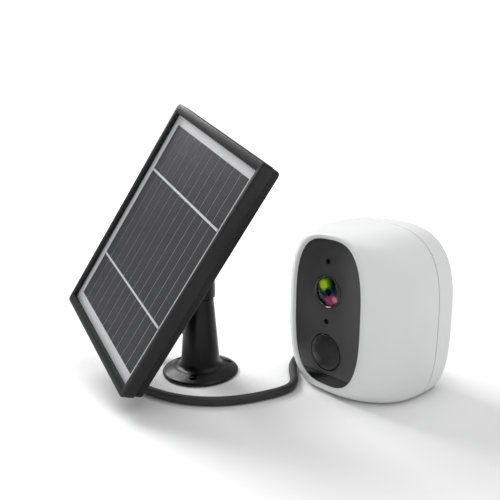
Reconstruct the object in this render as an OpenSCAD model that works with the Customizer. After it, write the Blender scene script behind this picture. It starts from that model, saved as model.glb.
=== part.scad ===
// Battery security camera with a solar panel on a jointed stand and a charging lead.
// Millimetres, +Z up. The origin is the middle of the camera's foot, and the camera faces -Y.

/* [Camera housing] */
// Width of the housing at its widest
body_w = 90; // [75:1:108]
// Height of the housing above the floor
body_h = 95; // [80:1:114]
// Depth from the front rim to the back
body_d = 64; // [58:1:77]
// Wall thickness of the two shells
shell_t = 2.2; // [1.8:0.1:2.7]
// Depth of the seam between the two shells behind the rim
seam_d = 40; // [34:1:44]
// Thickness of the seal in the seam
seam_gap = 0.6; // [0.4:0.1:1]
// Depth at which the housing is widest
belly_d = 50; // [46:1:54]
// How far the middle of the housing's widest ring lies below half its height
belly_drop = 6.5; // [2:0.5:12]
// Diameter of the foot pad
pad_d = 30; // [24:1:32]

/* [Face plate] */
// Width of the face plate
plate_w = 45.4; // [38:0.2:54]
// Thickness of the face plate
plate_t = 2.4; // [2:0.1:3]
// Height left above and below the face plate
plate_margin = 6; // [5:0.5:8]
// Width of the white rim around the face plate
rim_edge = 2.6; // [2:0.1:3.2]
// Height of the infrared window at the bottom of the plate
ir_band_h = 6.5; // [5:0.5:8]
// Outer diameter of the lens ring
lens_ring_d = 18.8; // [16:0.2:22]
// Diameter of the motion sensor's dome
pir_d = 21; // [17:0.5:22]
// Diameter of the small holes in the plate
pin_hole_d = 3.2; // [2.6:0.1:3.9]

/* [Ports] */
// Height of the ports above the floor
port_z = 17; // [16:0.5:20]
// Width of the port recess
port_w = 40; // [38:1:42]
// Height of the port recess
port_h = 11; // [10.5:0.5:13]
// Height of the tripod thread above the floor
tripod_z = 52; // [44:1:60]
// Diameter of the tripod thread
tripod_thread_d = 6.35; // [6.35, 9.525]

/* [Solar panel] */
// Width of the panel
panel_w = 94.5; // [79:0.5:114]
// Height of the panel
panel_h = 141; // [118:1:170]
// Thickness of the panel
panel_t = 13.2; // [11:0.2:16]
// Width of the bezel along the long sides
bezel_side = 3.3; // [2.8:0.1:4]
// Width of the bezel along the short sides
bezel_end = 5.5; // [5:0.1:7]
// White margin beside the cells
margin_side = 4; // [2:0.5:6]
// White margin above and below the cells
margin_end = 5.3; // [3:0.1:7]
// Number of cell strips
cell_strips = 11; // [8:1:14]
// Upward tilt of the panel's face
panel_tilt = 24; // [22:1:60]
// Clockwise turn of the panel seen from its front
panel_roll = 21; // [-90:1:90]

/* [Stand] */
// Diameter of the foot
foot_d = 46.5; // [40:0.5:56]
// Diameter of the column at its bottom
column_d = 23.4; // [20:0.2:28]
// Diameter of the column at its top
column_top_d = 17.2; // [17:0.2:22]
// Height of the top of the column
column_h = 48; // [44:1:52]
// Height of the tilt pivot
pivot_z = 72; // [70:1:80]
// Distance from the tilt pivot to the panel's front
pivot_to_front = 34.9; // [33:0.1:42]
// Circle of the foot's screw holes
foot_screw_circle = 36.4; // [32:0.2:40]
// Diameter of the foot's screw holes
foot_screw_d = 4.2; // [3.4:0.2:4.6]
// Diameter of the tilt bolt
tilt_bolt_d = 4; // [4:0.5:5]

/* [Cord] */
// Diameter of the lead
cord_d = 5; // [4:0.5:5]

/* [Hidden] */

$fn = 64;
fine = 0.05;          // overlap that joins two solids of one piece
fit = 0.1;            // gap around a piece that sits in a recess
running = 0.05;       // radial clearance of a pin that turns in its bore
through = 1;          // how far a cut runs past a face
ring_n = 48;          // points around the housing

// Housing
rim_y = -body_d / 2;
seam_y = rim_y + seam_d;
foot_lift = 0.4;
rim_power = 3.7;
dome_power = 3.05;
belly_shape = 3.1;
rim_shape = 3;
plate_h = body_h - 2 * plate_margin;
plate_z = body_h / 2;
rim_w = plate_w + 2 * rim_edge;
rim_h = plate_h + 2 * rim_edge;
belly_z = body_h / 2 - belly_drop;
belly_low = 2 * belly_z - body_h;
plate_gap = 0.15;
plate_recess = 0.4;
plate_y = rim_y + plate_recess;
ledge_y = plate_y + plate_t;
ledge_w = 2.5;
ledge_t = 3;
ledge_back_d = plate_recess + plate_t + ledge_t;
lip_len = 5;
lip_t = 1.2;
pad_t = 1.4;
pad_y = -7.5;

// Features on the face plate
plate_low = plate_z - plate_h / 2;
lens_z = plate_low + 0.65 * plate_h;
mic_z = lens_z + lens_ring_d / 2 + 7.6;
pir_z = plate_low + ir_band_h + 2.1 + pir_d / 2;
led_z = (pir_z + pir_d / 2 + lens_z - lens_ring_d / 2) / 2;

// Inside the housing
chassis_y = rim_y + ledge_back_d;
chassis_t = 1.8;
chassis_w = plate_w + 9;
chassis_screw_x = plate_w / 2 + 2.2;
chassis_screw_dz = 16;
cell_d = 18.4;
cell_len = body_h - 30;
cradle_t = 1.6;
cradle_gap = 0.2;
cradle_w = 2 * cell_d + 3 * cradle_gap + 2 * cradle_t;
cradle_y0 = -cell_d / 2 - cradle_gap - 1;
cradle_y1 = cell_d / 2 + cradle_gap + cradle_t;
cells_z = 16;
leg_d = 4.5;
leg_x = cradle_w / 2 - leg_d / 2 + 1.2;
board_y = -18;
board_t = 1.6;
board_w = 32;
sensor_board_y = -14.6;
window_step = 0.6;
barrel_d = 15.8;
holder_w = barrel_d + 3.2;
element_d = 13.2;

// Ports at the back
port_y = rim_y + dome_depth(port_w / 2, port_z - port_h / 2) - 1.8;
port_block_t = 3.4;
usb_x = -12;
card_x = 3;
button_x = 15;
usb_w = 8;
usb_h = 3;
usb_len = 6.8;
card_w = 11;
card_t = 1;
card_len = 15;
card_out = 1;
button_d = 4.2;
button_proud = 1.2;
flap_t = 1.4;
flap_pin_d = 1.8;
flap_w = 30;
flap_y = port_y + 1;
flap_z = port_z + port_h / 2 + 1.2;
port_board_t = 1.2;
port_board_z = port_z - usb_h / 2 - port_board_t;
insert_d = 9.6;
insert_len = 9;
insert_y = rim_y + dome_depth(0, tripod_z) - 0.4;

// Solar panel, measured from the tilt pivot towards the panel's front
stand_x = -71.6;
stand_y = -64.6;
panel_back_z = pivot_to_front - panel_t;
parting_z = pivot_to_front - 7.9;
window_w = panel_w - 2 * bezel_side;
window_h = panel_h - 2 * bezel_end;
lip_z = pivot_to_front - 1.7;
glass_t = 1;
glass_over = 2;
bezel_wall = 2.05;
glass_w = window_w + glass_over;
glass_h = window_h + glass_over;
glass_z = lip_z - glass_t;
ribbon_t = 0.15;
cell_t = 0.2;
cell_z = glass_z - 0.05 - ribbon_t - cell_t;
sheet_t = 0.6;
cells_w = window_w - 2 * margin_side;
cells_h = window_h - 2 * margin_end;
strip_gap = 0.5;
strip_w = (cells_w - (cell_strips - 1) * strip_gap) / cell_strips;
ribbon_w = 1.3;
ribbon_share = 0.25;
panel_corner = 2.2;
back_inset = 0.6;
back_wall = 2;
panel_screw_d = 2.5;
panel_screw_x = panel_w / 2 - 5.3;
panel_screw_y = panel_h / 2 - 7.5;
plate_disc_d = 30;
plate_disc_t = 2.5;

// Stand
stand_foot_z = 0.6;
stand_pad_t = 1;
column_bore_d = 8;
knuckle_w = 9;
knuckle_d = 14;
neck_d = 16;
neck_start = 8.2;
neck_end = panel_back_z - plate_disc_t - 0.3;
stud_start = 10;
ear_gap = 0.3;
ear_t = 4.5;
ear_in = knuckle_w / 2 + ear_gap;
ear_out = ear_in + ear_t;
ear_d = 15;
fork_base_t = 5.7;
fork_d = max(column_top_d + 1.6, 2 * ear_out + 0.6);
fork_lift = 0.3;
fork_z = column_h + fork_lift;
pan_head_d = 10;
pan_head_t = 1.8;
nut_af = 7;
nut_t = 3.2;
knob_d = 16;
knob_t = 8;
knob_x = ear_out + 0.3;
grommet_z = 25;

// Cord: from the grommet to the plug, on the floor between them
cord_lay = [[-92.5, -64.6, 25], [-97, -64.8, 24.4], [-102, -66.2, 21.9], [-106.4, -69, 17.7],
    [-109.8, -73.2, 12.6], [-112, -78.8, 7.8], [-112.4, -85, 4.3], [-110.8, -91.4, 2.7], [-106.8, -97, 2.5],
    [-101, -101.6, 2.5], [-94, -104.6, 2.5], [-86.4, -106.2, 2.5], [-78, -106.6, 2.5], [-69, -106, 2.5],
    [-59, -103.8, 2.5], [-49, -100, 2.5], [-40, -94.6, 2.5], [-32, -87.4, 2.5], [-25.5, -78.8, 2.5],
    [-20.6, -69, 2.5], [-17.4, -59.4, 2.5], [-15.4, -50.8, 2.5], [-15.6, -43.2, 2.5], [-18.8, -36.6, 2.5],
    [-24.6, -30.6, 2.5], [-31.2, -24.6, 2.5], [-37.3, -17.4, 2.5], [-41.8, -9, 2.5], [-45.1, 1, 2.5],
    [-47.8, 12.4, 2.5], [-49.6, 24, 2.5],
    [-50.4, 34, 2.5], [-50.4, 44, 2.5], [-49.2, 54, 2.8], [-45.6, 63, 3.8], [-39.4, 69.6, 5.8],
    [-31.2, 72.4, 8.6], [-23, 71, 11.8], [-16.6, 67, 14.8], [-13, 62.8, 16.6], [-12, 59, 17]];
cord_sides = 10;
cord_start = cord_lay[0];
cord_end = cord_lay[len(cord_lay) - 1];
plug_w = 10.6;
plug_h = 7.6;
plug_len = 17;
plug_y = port_y + 0.2;
boot_d = 7;

// ---------------------------------------------------------------- Shape functions

function spow(v, e) = sign(v) * pow(abs(v), e);

// How much of the front rim's shape a ring at this depth has: 1 at the rim, 0 at the belly
function rim_share(d) = d < belly_d ? pow((belly_d - d) / belly_d, rim_power) : 0;

// How far a ring behind the belly has drawn in towards the back
function dome_share(d, off) =
    d <= belly_d ? 1
    : pow(max(0, 1 - pow((d - belly_d) / (body_d - off - belly_d), dome_power)), 1 / dome_power);

// Depth of the outside of the back at a place x from the middle and z above the floor
function dome_depth(x, z) =
    let (h = z < belly_z ? belly_z - belly_low : body_h - belly_z)
    let (s = pow(pow(abs(x) / (body_w / 2), belly_shape) + pow(abs(z - belly_z) / h, belly_shape),
        1 / belly_shape))
    belly_d + (body_d - belly_d) * pow(1 - pow(s, dome_power), 1 / dome_power);

// Point of the housing at angle a and depth d, moved in by off
function body_point(a, d, off) =
    let (f = rim_share(d), s = dome_share(d, off))
    let (e = 2 / (belly_shape + f * (rim_shape - belly_shape)))
    let (half = body_w / 2 - f * (body_w - rim_w) / 2 - off)
    let (mid = belly_z + f * (plate_z - belly_z))
    let (top = body_h + f * (plate_z + rim_h / 2 - body_h) - off)
    let (low = belly_low + f * (plate_z - rim_h / 2 - belly_low) + off)
    let (reach = sin(a) > 0 ? top - mid : mid - low)
    [half * s * spow(cos(a), e), rim_y + d, max(mid + reach * s * spow(sin(a), e), foot_lift + off)];

function body_ring(d, off = 0) = [for (i = [0:ring_n - 1]) body_point(360 * i / ring_n, d, off)];

// Outline of the face plate, grown by an amount
function plate_xz(a, grow) = [
    (plate_w / 2 + grow) * spow(cos(a), 2 / rim_shape),
    plate_z + (plate_h / 2 + grow) * spow(sin(a), 2 / rim_shape)];

function plate_ring(d, grow) = [
    for (i = [0:ring_n - 1]) let (q = plate_xz(360 * i / ring_n, grow)) [q[0], rim_y + d, q[1]]];

// Skin through a list of rings, joined end to start, closed at a pole, or closed flat
module skin(rings, wrap = false, poles = [], flat_ends = false) {
    n = len(rings[0]);
    m = len(rings);
    last = (m - 1) * n;
    pole = m * n;
    walls = [for (i = [0:wrap ? m - 1 : m - 2], j = [0:n - 1])
        [i * n + j, ((i + 1) % m) * n + j, ((i + 1) % m) * n + (j + 1) % n, i * n + (j + 1) % n]];
    fans = len(poles) == 2 ? [
        for (j = [0:n - 1]) each [[pole, j, (j + 1) % n], [last + j, pole + 1, last + (j + 1) % n]]] : [];
    lids = flat_ends ? [[for (j = [0:n - 1]) j], [for (j = [n - 1:-1:0]) last + j]] : [];
    polyhedron(points = concat([for (r = rings) each r], poles), faces = concat(walls, fans, lids));
}

// ---------------------------------------------------------------- Shared modules

// Rectangle with round corners
module round_rect(w, h, r) {
    square([w - 2 * r, h], center = true);
    square([w, h - 2 * r], center = true);
    for (x = [-1, 1], y = [-1, 1])
        translate([x * (w / 2 - r), y * (h / 2 - r)])
            circle(r);
}

// Slab of a flat outline drawn in X and Z, between two depths
module slab(y0, y1) {
    translate([0, y1, 0])
        rotate([90, 0, 0])
            linear_extrude(y1 - y0)
                children();
}

// Rod along Y
module rod_y(x, z, y0, y1, d) {
    translate([x, y1, z])
        rotate([90, 0, 0])
            cylinder(h = y1 - y0, d = d);
}

// Rod along X through the tilt pivot
module rod_x(x0, x1, d, fn = 64) {
    translate([x0, 0, 0])
        rotate([0, 90, 0])
            cylinder(h = x1 - x0, d = d, $fn = fn);
}

// Box given by its lowest and highest corners
module box(low, high) {
    translate(low)
        cube(high - low);
}

module plate_outline(grow = 0) {
    polygon([for (i = [0:2 * ring_n - 1]) plate_xz(180 * i / ring_n, grow)]);
}

module at_stand(z = 0) {
    translate([stand_x, stand_y, z])
        children();
}

// Frame of the tilted parts: +Z leaves the pivot towards the panel's front
module at_tilt() {
    at_stand(pivot_z)
        rotate([90 - panel_tilt, 0, 0])
            children();
}

// Frame of the panel: +X to its right and +Y up along it, seen from its front
module at_panel() {
    at_tilt()
        rotate([0, 0, -panel_roll])
            children();
}

module rounded_block(w, h, r, z0, z1) {
    translate([0, 0, z0])
        linear_extrude(z1 - z0)
            round_rect(w, h, r);
}

// ---------------------------------------------------------------- Housing

module front_shell() {
    front_d = seam_d - seam_gap / 2;
    outer = [for (s = [1, 0.85, 0.7, 0.55, 0.42, 0.3, 0.2, 0.12, 0.06, 0.02]) body_ring(s * front_d)];
    inner = [for (s = [0, 0.06, 0.15, 0.3, 0.5, 0.75, 1])
        body_ring(ledge_back_d + s * (front_d - ledge_back_d), shell_t)];
    rim = [plate_ring(0, rim_edge - 0.5), plate_ring(0, plate_gap),
        plate_ring(plate_recess + plate_t, plate_gap), plate_ring(plate_recess + plate_t, plate_gap - ledge_w),
        plate_ring(ledge_back_d, plate_gap - ledge_w)];
    color("white")
        difference() {
            skin(concat(outer, rim, inner), wrap = true);
            translate([0, pad_y, -through])
                cylinder(h = pad_t + through, d = pad_d + 2 * fit);
            for (x = [5:2:15])
                translate([x, rim_y + 0.6, foot_lift + 0.5])
                    rotate([-70, 0, 0])
                        cylinder(h = 9, d = 1.2, $fn = 24);
            for (x = [-1, 1], z = [-1, 1])
                rod_y(x * chassis_screw_x, plate_z + z * chassis_screw_dz, chassis_y - 3.2,
                    chassis_y + through, 2.2);
        }
}

module rear_cap() {
    back_d = seam_d + seam_gap / 2;
    lip_off = shell_t + 0.15;
    dome_d = body_d - belly_d;
    outer = [for (s = [0.99, 0.97, 0.93, 0.86, 0.74, 0.55, 0.3]) body_ring(belly_d + s * dome_d)];
    side = [for (s = [1, 0.5, 0]) body_ring(back_d + s * (belly_d - back_d))];
    lip = [body_ring(back_d, lip_off), body_ring(seam_d - lip_len, lip_off),
        body_ring(seam_d - lip_len, lip_off + lip_t), body_ring(back_d, lip_off + lip_t),
        body_ring(belly_d, shell_t + 0.3)];
    inner = [for (s = [0.3, 0.55, 0.74, 0.86, 0.93, 0.97]) body_ring(belly_d + s * (dome_d - shell_t), shell_t)];
    poles = [[0, rim_y + body_d, belly_z], [0, rim_y + body_d - shell_t, belly_z]];
    recess_top = flap_z + flap_pin_d / 2 + 0.4;
    recess_low = port_z - port_h / 2;
    color("white")
        difference() {
            union() {
                skin(concat(outer, side, lip, inner), poles = poles);
                rod_y(0, tripod_z, insert_y - insert_len - 1.5, insert_y - 1, insert_d + 5);
                box([-port_w / 2 - 1.5, port_y - port_block_t, recess_low - 1.5],
                    [port_w / 2 + 1.5, port_y + 0.6, recess_top + 1.5]);
            }
            rod_y(0, tripod_z, insert_y - insert_len, rim_y + body_d + through, insert_d);
            slab(port_y, rim_y + body_d + through)
                translate([0, (recess_low + recess_top) / 2])
                    round_rect(port_w, recess_top - recess_low, 3);
            slab(port_y - port_block_t - through, port_y + through)
                translate([usb_x, port_z])
                    round_rect(usb_w + 2 * fit, usb_h + 2 * fit, 1);
            slab(port_y - port_block_t - through, port_y + through)
                translate([card_x, port_z])
                    square([card_w + 0.6, card_t + 0.6], center = true);
            rod_y(button_x, port_z, port_y - port_block_t - through, port_y + through, button_d + 4 * running);
        }
}

module seam_gasket() {
    back = seam_d + seam_gap / 2;
    front = seam_d - seam_gap / 2;
    color("dimgray")
        skin([body_ring(back, 0.7), body_ring(front, 0.7), body_ring(front, shell_t), body_ring(back, shell_t)],
            wrap = true);
}

module foot_pad() {
    color("silver")
        translate([0, pad_y, 0])
            cylinder(h = pad_t, d = pad_d);
}

// ---------------------------------------------------------------- Face plate

module lower_band() {
    translate([-plate_w, plate_low - through])
        square([2 * plate_w, ir_band_h + through]);
}

module face_plate() {
    color("dimgray")
        difference() {
            slab(plate_y, ledge_y)
                difference() {
                    plate_outline();
                    lower_band();
                }
            for (z = [mic_z, led_z])
                rod_y(0, z, plate_y - through, ledge_y + through, pin_hole_d);
            rod_y(0, lens_z, plate_y - through, ledge_y + through, lens_ring_d + 2 * fit);
            rod_y(0, pir_z, plate_y - through, ledge_y + through, pir_d + 2 * fit);
        }
}

module ir_window() {
    color("black")
        slab(plate_y, ledge_y)
            intersection() {
                plate_outline();
                lower_band();
            }
}

module lens_ring() {
    r = lens_ring_d / 2;
    color("gray")
        translate([0, ledge_y, lens_z])
            rotate([90, 0, 0])
                rotate_extrude()
                    polygon([[r - 2.4, 0], [r, 0], [r, plate_t + 0.1], [r - 0.3, plate_t + 0.3],
                        [r - 0.9, plate_t + 0.3], [r - 1.5, plate_t - 0.4], [r - 1.5, window_step],
                        [r - 2.4, window_step]]);
}

module lens_window() {
    color("lightsteelblue", 0.4)
        rod_y(0, lens_z, ledge_y - window_step - 1, ledge_y - window_step, lens_ring_d - 3 - 2 * fit);
}

// Front element of the lens: a thick disc with a domed front
module front_element() {
    r = element_d / 2;
    sag = 2.4;
    color("darkslateblue", 0.6)
        translate([0, ledge_y + 4.4, lens_z])
            rotate([90, 0, 0])
                rotate_extrude()
                    polygon(concat([[0, 0], [r, 0]],
                        [for (i = [0:8]) [r * cos(90 * i / 8), 1.2 + sag * sin(90 * i / 8)]]));
}

module lens_barrel() {
    y1 = sensor_board_y - 1;
    color([0.08, 0.08, 0.09])
        difference() {
            rod_y(0, lens_z, ledge_y + fit, y1, barrel_d);
            rod_y(0, lens_z, ledge_y - through, ledge_y + 4.4, element_d + 2 * fit);
            rod_y(0, lens_z, ledge_y + 4.4 - fine, y1 + through, 6);
        }
}

module lens_holder() {
    y0 = sensor_board_y - 7;
    color([0.1, 0.1, 0.1])
        difference() {
            slab(y0, sensor_board_y)
                translate([0, lens_z])
                    square(holder_w, center = true);
            rod_y(0, lens_z, y0 - through, sensor_board_y + through, barrel_d + 2 * running);
        }
}

module image_sensor_board() {
    color("green")
        slab(sensor_board_y, sensor_board_y + 1.2)
            translate([0, lens_z])
                square(24, center = true);
    color("black")
        slab(sensor_board_y - 0.8, sensor_board_y + fine)
            translate([0, lens_z])
                square([5, 4], center = true);
}

module ir_lamp_board() {
    z = plate_low + ledge_w + 2.6;
    color("green")
        slab(ledge_y + 1.2, ledge_y + 2.4)
            translate([0, z])
                square([14, 3], center = true);
    color("white")
        for (x = [-4.5, 0, 4.5])
            rod_y(x, z, ledge_y + 0.1, ledge_y + 1.2 + fine, 2.6);
}

// Dome of the motion sensor, with the flange that holds it behind the plate
module pir_dome() {
    r = pir_d / 2;
    sag = 2.4;
    wall = 0.8;
    sphere_r = (r * r + sag * sag) / (2 * sag);
    sweep = asin(r / sphere_r);
    front = plate_t;
    color([0.17, 0.17, 0.17])
        translate([0, ledge_y, pir_z])
            rotate([90, 0, 0])
                rotate_extrude()
                    polygon(concat(
                        [[r - 1.2, -1], [r + 1.2, -1], [r + 1.2, 0], [r, 0]],
                        [for (i = [0:8]) let (a = sweep * (1 - i / 8))
                            [sphere_r * sin(a), front + sag - sphere_r * (1 - cos(a))]],
                        [for (i = [0:6]) let (a = sweep * i / 6 * 0.88)
                            [sphere_r * sin(a), front + sag - wall - sphere_r * (1 - cos(a))]]));
}

module pir_sensor() {
    color("silver")
        rod_y(0, pir_z, board_y - 5, board_y, 9.2);
    color("goldenrod")
        for (x = [-2.5, 0, 2.5])
            rod_y(x, pir_z, board_y - fine, board_y + board_t + 1, 0.6);
}

module status_light() {
    color("lightgray", 0.7) {
        rod_y(0, led_z, plate_y + 0.1, ledge_y, pin_hole_d - 2 * fit);
        rod_y(0, led_z, ledge_y - fine, board_y, 1.8);
    }
}

module microphone() {
    color("silver")
        rod_y(0, mic_z, ledge_y, ledge_y + 2.5, 6);
}

// ---------------------------------------------------------------- Inside the housing

module chassis_plate() {
    low = pir_z - 6;
    high = mic_z + 1;
    color("dimgray")
        difference() {
            slab(chassis_y, chassis_y + chassis_t)
                translate([0, (low + high) / 2])
                    round_rect(chassis_w, high - low, 8);
            for (z = [pir_z, lens_z])
                rod_y(0, z, chassis_y - through, chassis_y + chassis_t + through, barrel_d + 1.4);
            rod_y(0, led_z, chassis_y - through, chassis_y + chassis_t + through, 4);
            for (x = [-1, 1], z = [-1, 1])
                rod_y(x * chassis_screw_x, plate_z + z * chassis_screw_dz, chassis_y - through,
                    chassis_y + chassis_t + through, 2.4);
        }
}

module chassis_screws() {
    color("silver")
        for (x = [-1, 1], z = [-1, 1]) {
            rod_y(x * chassis_screw_x, plate_z + z * chassis_screw_dz, chassis_y - 3, chassis_y + chassis_t + fine,
                2.1);
            rod_y(x * chassis_screw_x, plate_z + z * chassis_screw_dz, chassis_y + chassis_t,
                chassis_y + chassis_t + 1.3, 4);
        }
}

module main_board() {
    low = cells_z - 2;
    high = lens_z - holder_w / 2 - 2.4;
    color("green")
        difference() {
            slab(board_y, board_y + board_t)
                translate([0, (low + high) / 2])
                    square([board_w, high - low], center = true);
            for (x = [-2.5, 0, 2.5])
                rod_y(x, pir_z, board_y - through, board_y + board_t + through, 0.8);
        }
    color("black") {
        box([-10, board_y + board_t - fine, low + 3], [0, board_y + board_t + 1, low + 8]);
        box([3, board_y + board_t - fine, high - 12], [13, board_y + board_t + 1.4, high - 2]);
    }
}

module battery_cells() {
    color("royalblue")
        for (x = [-1, 1])
            translate([x * (cell_d / 2 + cradle_gap / 2), 0, cells_z])
                cylinder(h = cell_len, d = cell_d);
}

module battery_cradle() {
    low = cells_z - cradle_t - cradle_gap;
    high = cells_z + cell_len + cradle_t + cradle_gap;
    color("dimgray") {
        difference() {
            box([-cradle_w / 2, cradle_y0, low], [cradle_w / 2, cradle_y1, high]);
            box([-cradle_w / 2 + cradle_t, cradle_y0 - through, low + cradle_t],
                [cradle_w / 2 - cradle_t, cradle_y1 - cradle_t, high - cradle_t]);
        }
        for (x = [-1, 1], z = [low + 10, high - 10])
            rod_y(x * leg_x, z, chassis_y + chassis_t, cradle_y0 + 3, leg_d);
    }
}

module speaker() {
    color("black")
        translate([11, -13, foot_lift + shell_t])
            cylinder(h = 5, d = 18);
}

module wireless_antenna() {
    z = cells_z + cell_len + cradle_t + cradle_gap;
    color("darkorange")
        box([-15, -5, z], [15, 7, z + 0.8]);
}

// ---------------------------------------------------------------- Ports

module port_board() {
    low = cradle_y1 + 1.6;
    color("green")
        box([-19, low, port_board_z], [19, port_y - port_block_t, port_board_z + port_board_t]);
    color("black")
        box([button_x - 3, port_y - port_block_t - 4.5, port_board_z + port_board_t - fine],
            [button_x + 3, port_y - port_block_t - 0.4, port_z + 2]);
}

module usb_socket() {
    color("silver")
        difference() {
            slab(port_y - usb_len, port_y)
                translate([usb_x, port_z])
                    round_rect(usb_w, usb_h, 0.9);
            slab(port_y - usb_len + 0.6, port_y + through)
                translate([usb_x, port_z])
                    round_rect(usb_w - 0.9, usb_h - 0.9, 0.6);
        }
}

module card_socket() {
    y0 = port_y + card_out - card_len - 0.7;
    color("silver")
        difference() {
            box([card_x - card_w / 2 - 1.2, y0, port_board_z + port_board_t],
                [card_x + card_w / 2 + 1.2, port_y - port_block_t, port_z + card_t / 2 + 0.8]);
            box([card_x - card_w / 2 - 0.2, y0 + 0.5, port_z - card_t / 2 - 0.2],
                [card_x + card_w / 2 + 0.2, port_y, port_z + card_t / 2 + 0.2]);
        }
}

module memory_card() {
    y1 = port_y + card_out;
    color("black")
        difference() {
            box([card_x - card_w / 2, y1 - card_len, port_z - card_t / 2],
                [card_x + card_w / 2, y1, port_z + card_t / 2]);
            box([card_x + card_w / 2 - 1.2, y1 - card_len - through, port_z - card_t],
                [card_x + card_w / 2 + through, y1 - card_len + 6, port_z + card_t]);
        }
}

module power_button() {
    color("gray")
        rod_y(button_x, port_z, port_y - port_block_t + 0.6, port_y + button_proud, button_d);
}

// Rubber flap of the ports, lifted over the plug, on the pin along its upper edge
module port_flap() {
    color("whitesmoke") {
        translate([-flap_w / 2, flap_y, flap_z])
            rotate([0, 90, 0])
                cylinder(h = flap_w, d = flap_pin_d);
        translate([0, flap_y + port_h / 2, flap_z - flap_t / 2])
            linear_extrude(flap_t)
                round_rect(flap_w, port_h, 2);
    }
}

module tripod_insert() {
    color("goldenrod")
        difference() {
            rod_y(0, tripod_z, insert_y - insert_len, insert_y, insert_d);
            rod_y(0, tripod_z, insert_y - insert_len + 1, insert_y + through, tripod_thread_d);
        }
}

// ---------------------------------------------------------------- Solar panel

module panel_corners() {
    for (x = [-1, 1], y = [-1, 1])
        translate([x * panel_screw_x, y * panel_screw_y, 0])
            children();
}

module panel_bezel() {
    color([0.1, 0.1, 0.1])
        at_panel()
            difference() {
                union() {
                    difference() {
                        rounded_block(panel_w, panel_h, panel_corner, parting_z, pivot_to_front);
                        rounded_block(panel_w - 2 * bezel_wall, glass_h + 0.4, 0.5, parting_z - through, lip_z);
                    }
                    panel_corners()
                        translate([0, 0, parting_z])
                            cylinder(h = cell_z - sheet_t - parting_z - 0.1, d = 7);
                }
                rounded_block(window_w, window_h, 0.6, lip_z - through, pivot_to_front + through);
                panel_corners()
                    translate([0, 0, parting_z - through])
                        cylinder(h = 3.4 + through, d = panel_screw_d);
            }
}

module panel_glass() {
    color("lightsteelblue", 0.35)
        at_panel()
            rounded_block(glass_w, glass_h, 0.4, glass_z, lip_z);
}

module white_backsheet() {
    color("gainsboro")
        at_panel()
            rounded_block(glass_w, glass_h, 0.4, cell_z - sheet_t, cell_z);
}

module cell_strips() {
    color([0.2, 0.2, 0.22])
        at_panel()
            for (i = [0:cell_strips - 1])
                translate([-cells_w / 2 + i * (strip_w + strip_gap), -cells_h / 2, cell_z])
                    cube([strip_w, cells_h, cell_t]);
}

module bus_ribbons() {
    color("silver")
        at_panel()
            for (y = [-1, 1])
                translate([-cells_w / 2, y * cells_h * (0.5 - ribbon_share) - ribbon_w / 2, cell_z + cell_t])
                    cube([cells_w, ribbon_w, ribbon_t]);
}

module panel_back() {
    w = panel_w - 2 * back_inset;
    h = panel_h - 2 * back_inset;
    color([0.08, 0.08, 0.08])
        at_panel()
            difference() {
                union() {
                    difference() {
                        rounded_block(w, h, panel_corner, panel_back_z, parting_z);
                        rounded_block(w - 2 * back_wall, h - 2 * back_wall, panel_corner - 1,
                            panel_back_z + back_wall, parting_z + through);
                    }
                    panel_corners()
                        translate([0, 0, panel_back_z])
                            cylinder(h = parting_z - panel_back_z, d = 7);
                }
                panel_corners()
                    translate([0, 0, panel_back_z - through]) {
                        cylinder(h = panel_t, d = panel_screw_d + 2 * fit);
                        cylinder(h = 1.8 + through, d = 5.2);
                    }
            }
}

module panel_screws() {
    color("silver")
        at_panel()
            panel_corners() {
                translate([0, 0, panel_back_z + 0.2])
                    cylinder(h = 1.6, d = 4.8);
                translate([0, 0, panel_back_z + 0.2])
                    cylinder(h = parting_z + 3 - panel_back_z, d = panel_screw_d - 0.1);
            }
}

module charge_board() {
    color("green")
        at_panel()
            translate([-15, -30, panel_back_z + back_wall])
                cube([30, 18, 1.4]);
}

// Round plate on the panel's back, with the stud that turns in the knuckle
module turning_plate() {
    color([0.09, 0.09, 0.09])
        at_panel() {
            translate([0, 0, panel_back_z - plate_disc_t])
                cylinder(h = plate_disc_t, d = plate_disc_d);
            translate([0, 0, stud_start])
                cylinder(h = panel_back_z - plate_disc_t - stud_start + fine, d = 8);
        }
}

// ---------------------------------------------------------------- Stand

// Radius of the column's outside at a height
function column_r(z) =
    let (low = stand_foot_z + 8)
    (column_d + (column_top_d - column_d) * max(0, z - low) / (column_h - low)) / 2;

module stand_column() {
    foot_r = foot_d / 2;
    fillet_r = 4.5;
    low_r = column_d / 2;
    deck_z = stand_foot_z + 4;
    profile = concat(
        [[column_bore_d / 2, deck_z + 4], [column_bore_d / 2, column_h], [column_top_d / 2, column_h]],
        [for (i = [0:6]) let (a = 180 + 90 * i / 6)
            [low_r + fillet_r + fillet_r * cos(a), deck_z + fillet_r + fillet_r * sin(a)]],
        [[foot_r - 0.8, stand_foot_z + 1.7], [foot_r - 0.2, stand_foot_z + 1.4], [foot_r, stand_foot_z + 0.9],
            [foot_r, stand_foot_z], [0, stand_foot_z], [0, deck_z + 4]]);
    color([0.08, 0.08, 0.08])
        at_stand()
            difference() {
                rotate_extrude()
                    polygon(profile);
                translate([0, 0, -through])
                    cylinder(h = stand_pad_t + through, d = foot_d - 4.5);
                translate([0, 0, grommet_z])
                    rotate([0, -90, 0])
                        cylinder(h = foot_d, d = column_bore_d);
                for (i = [0:2])
                    rotate([0, 0, 70 + 120 * i])
                        translate([foot_screw_circle / 2, 0, -through])
                            cylinder(h = 8, d = foot_screw_d);
            }
}

module stand_pad() {
    color("black")
        at_stand()
            difference() {
                cylinder(h = stand_pad_t, d = foot_d - 4.5 - 2 * fit);
                for (i = [0:2])
                    rotate([0, 0, 70 + 120 * i])
                        translate([foot_screw_circle / 2, 0, -through])
                            cylinder(h = 8, d = foot_screw_d + 1);
            }
}

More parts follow.
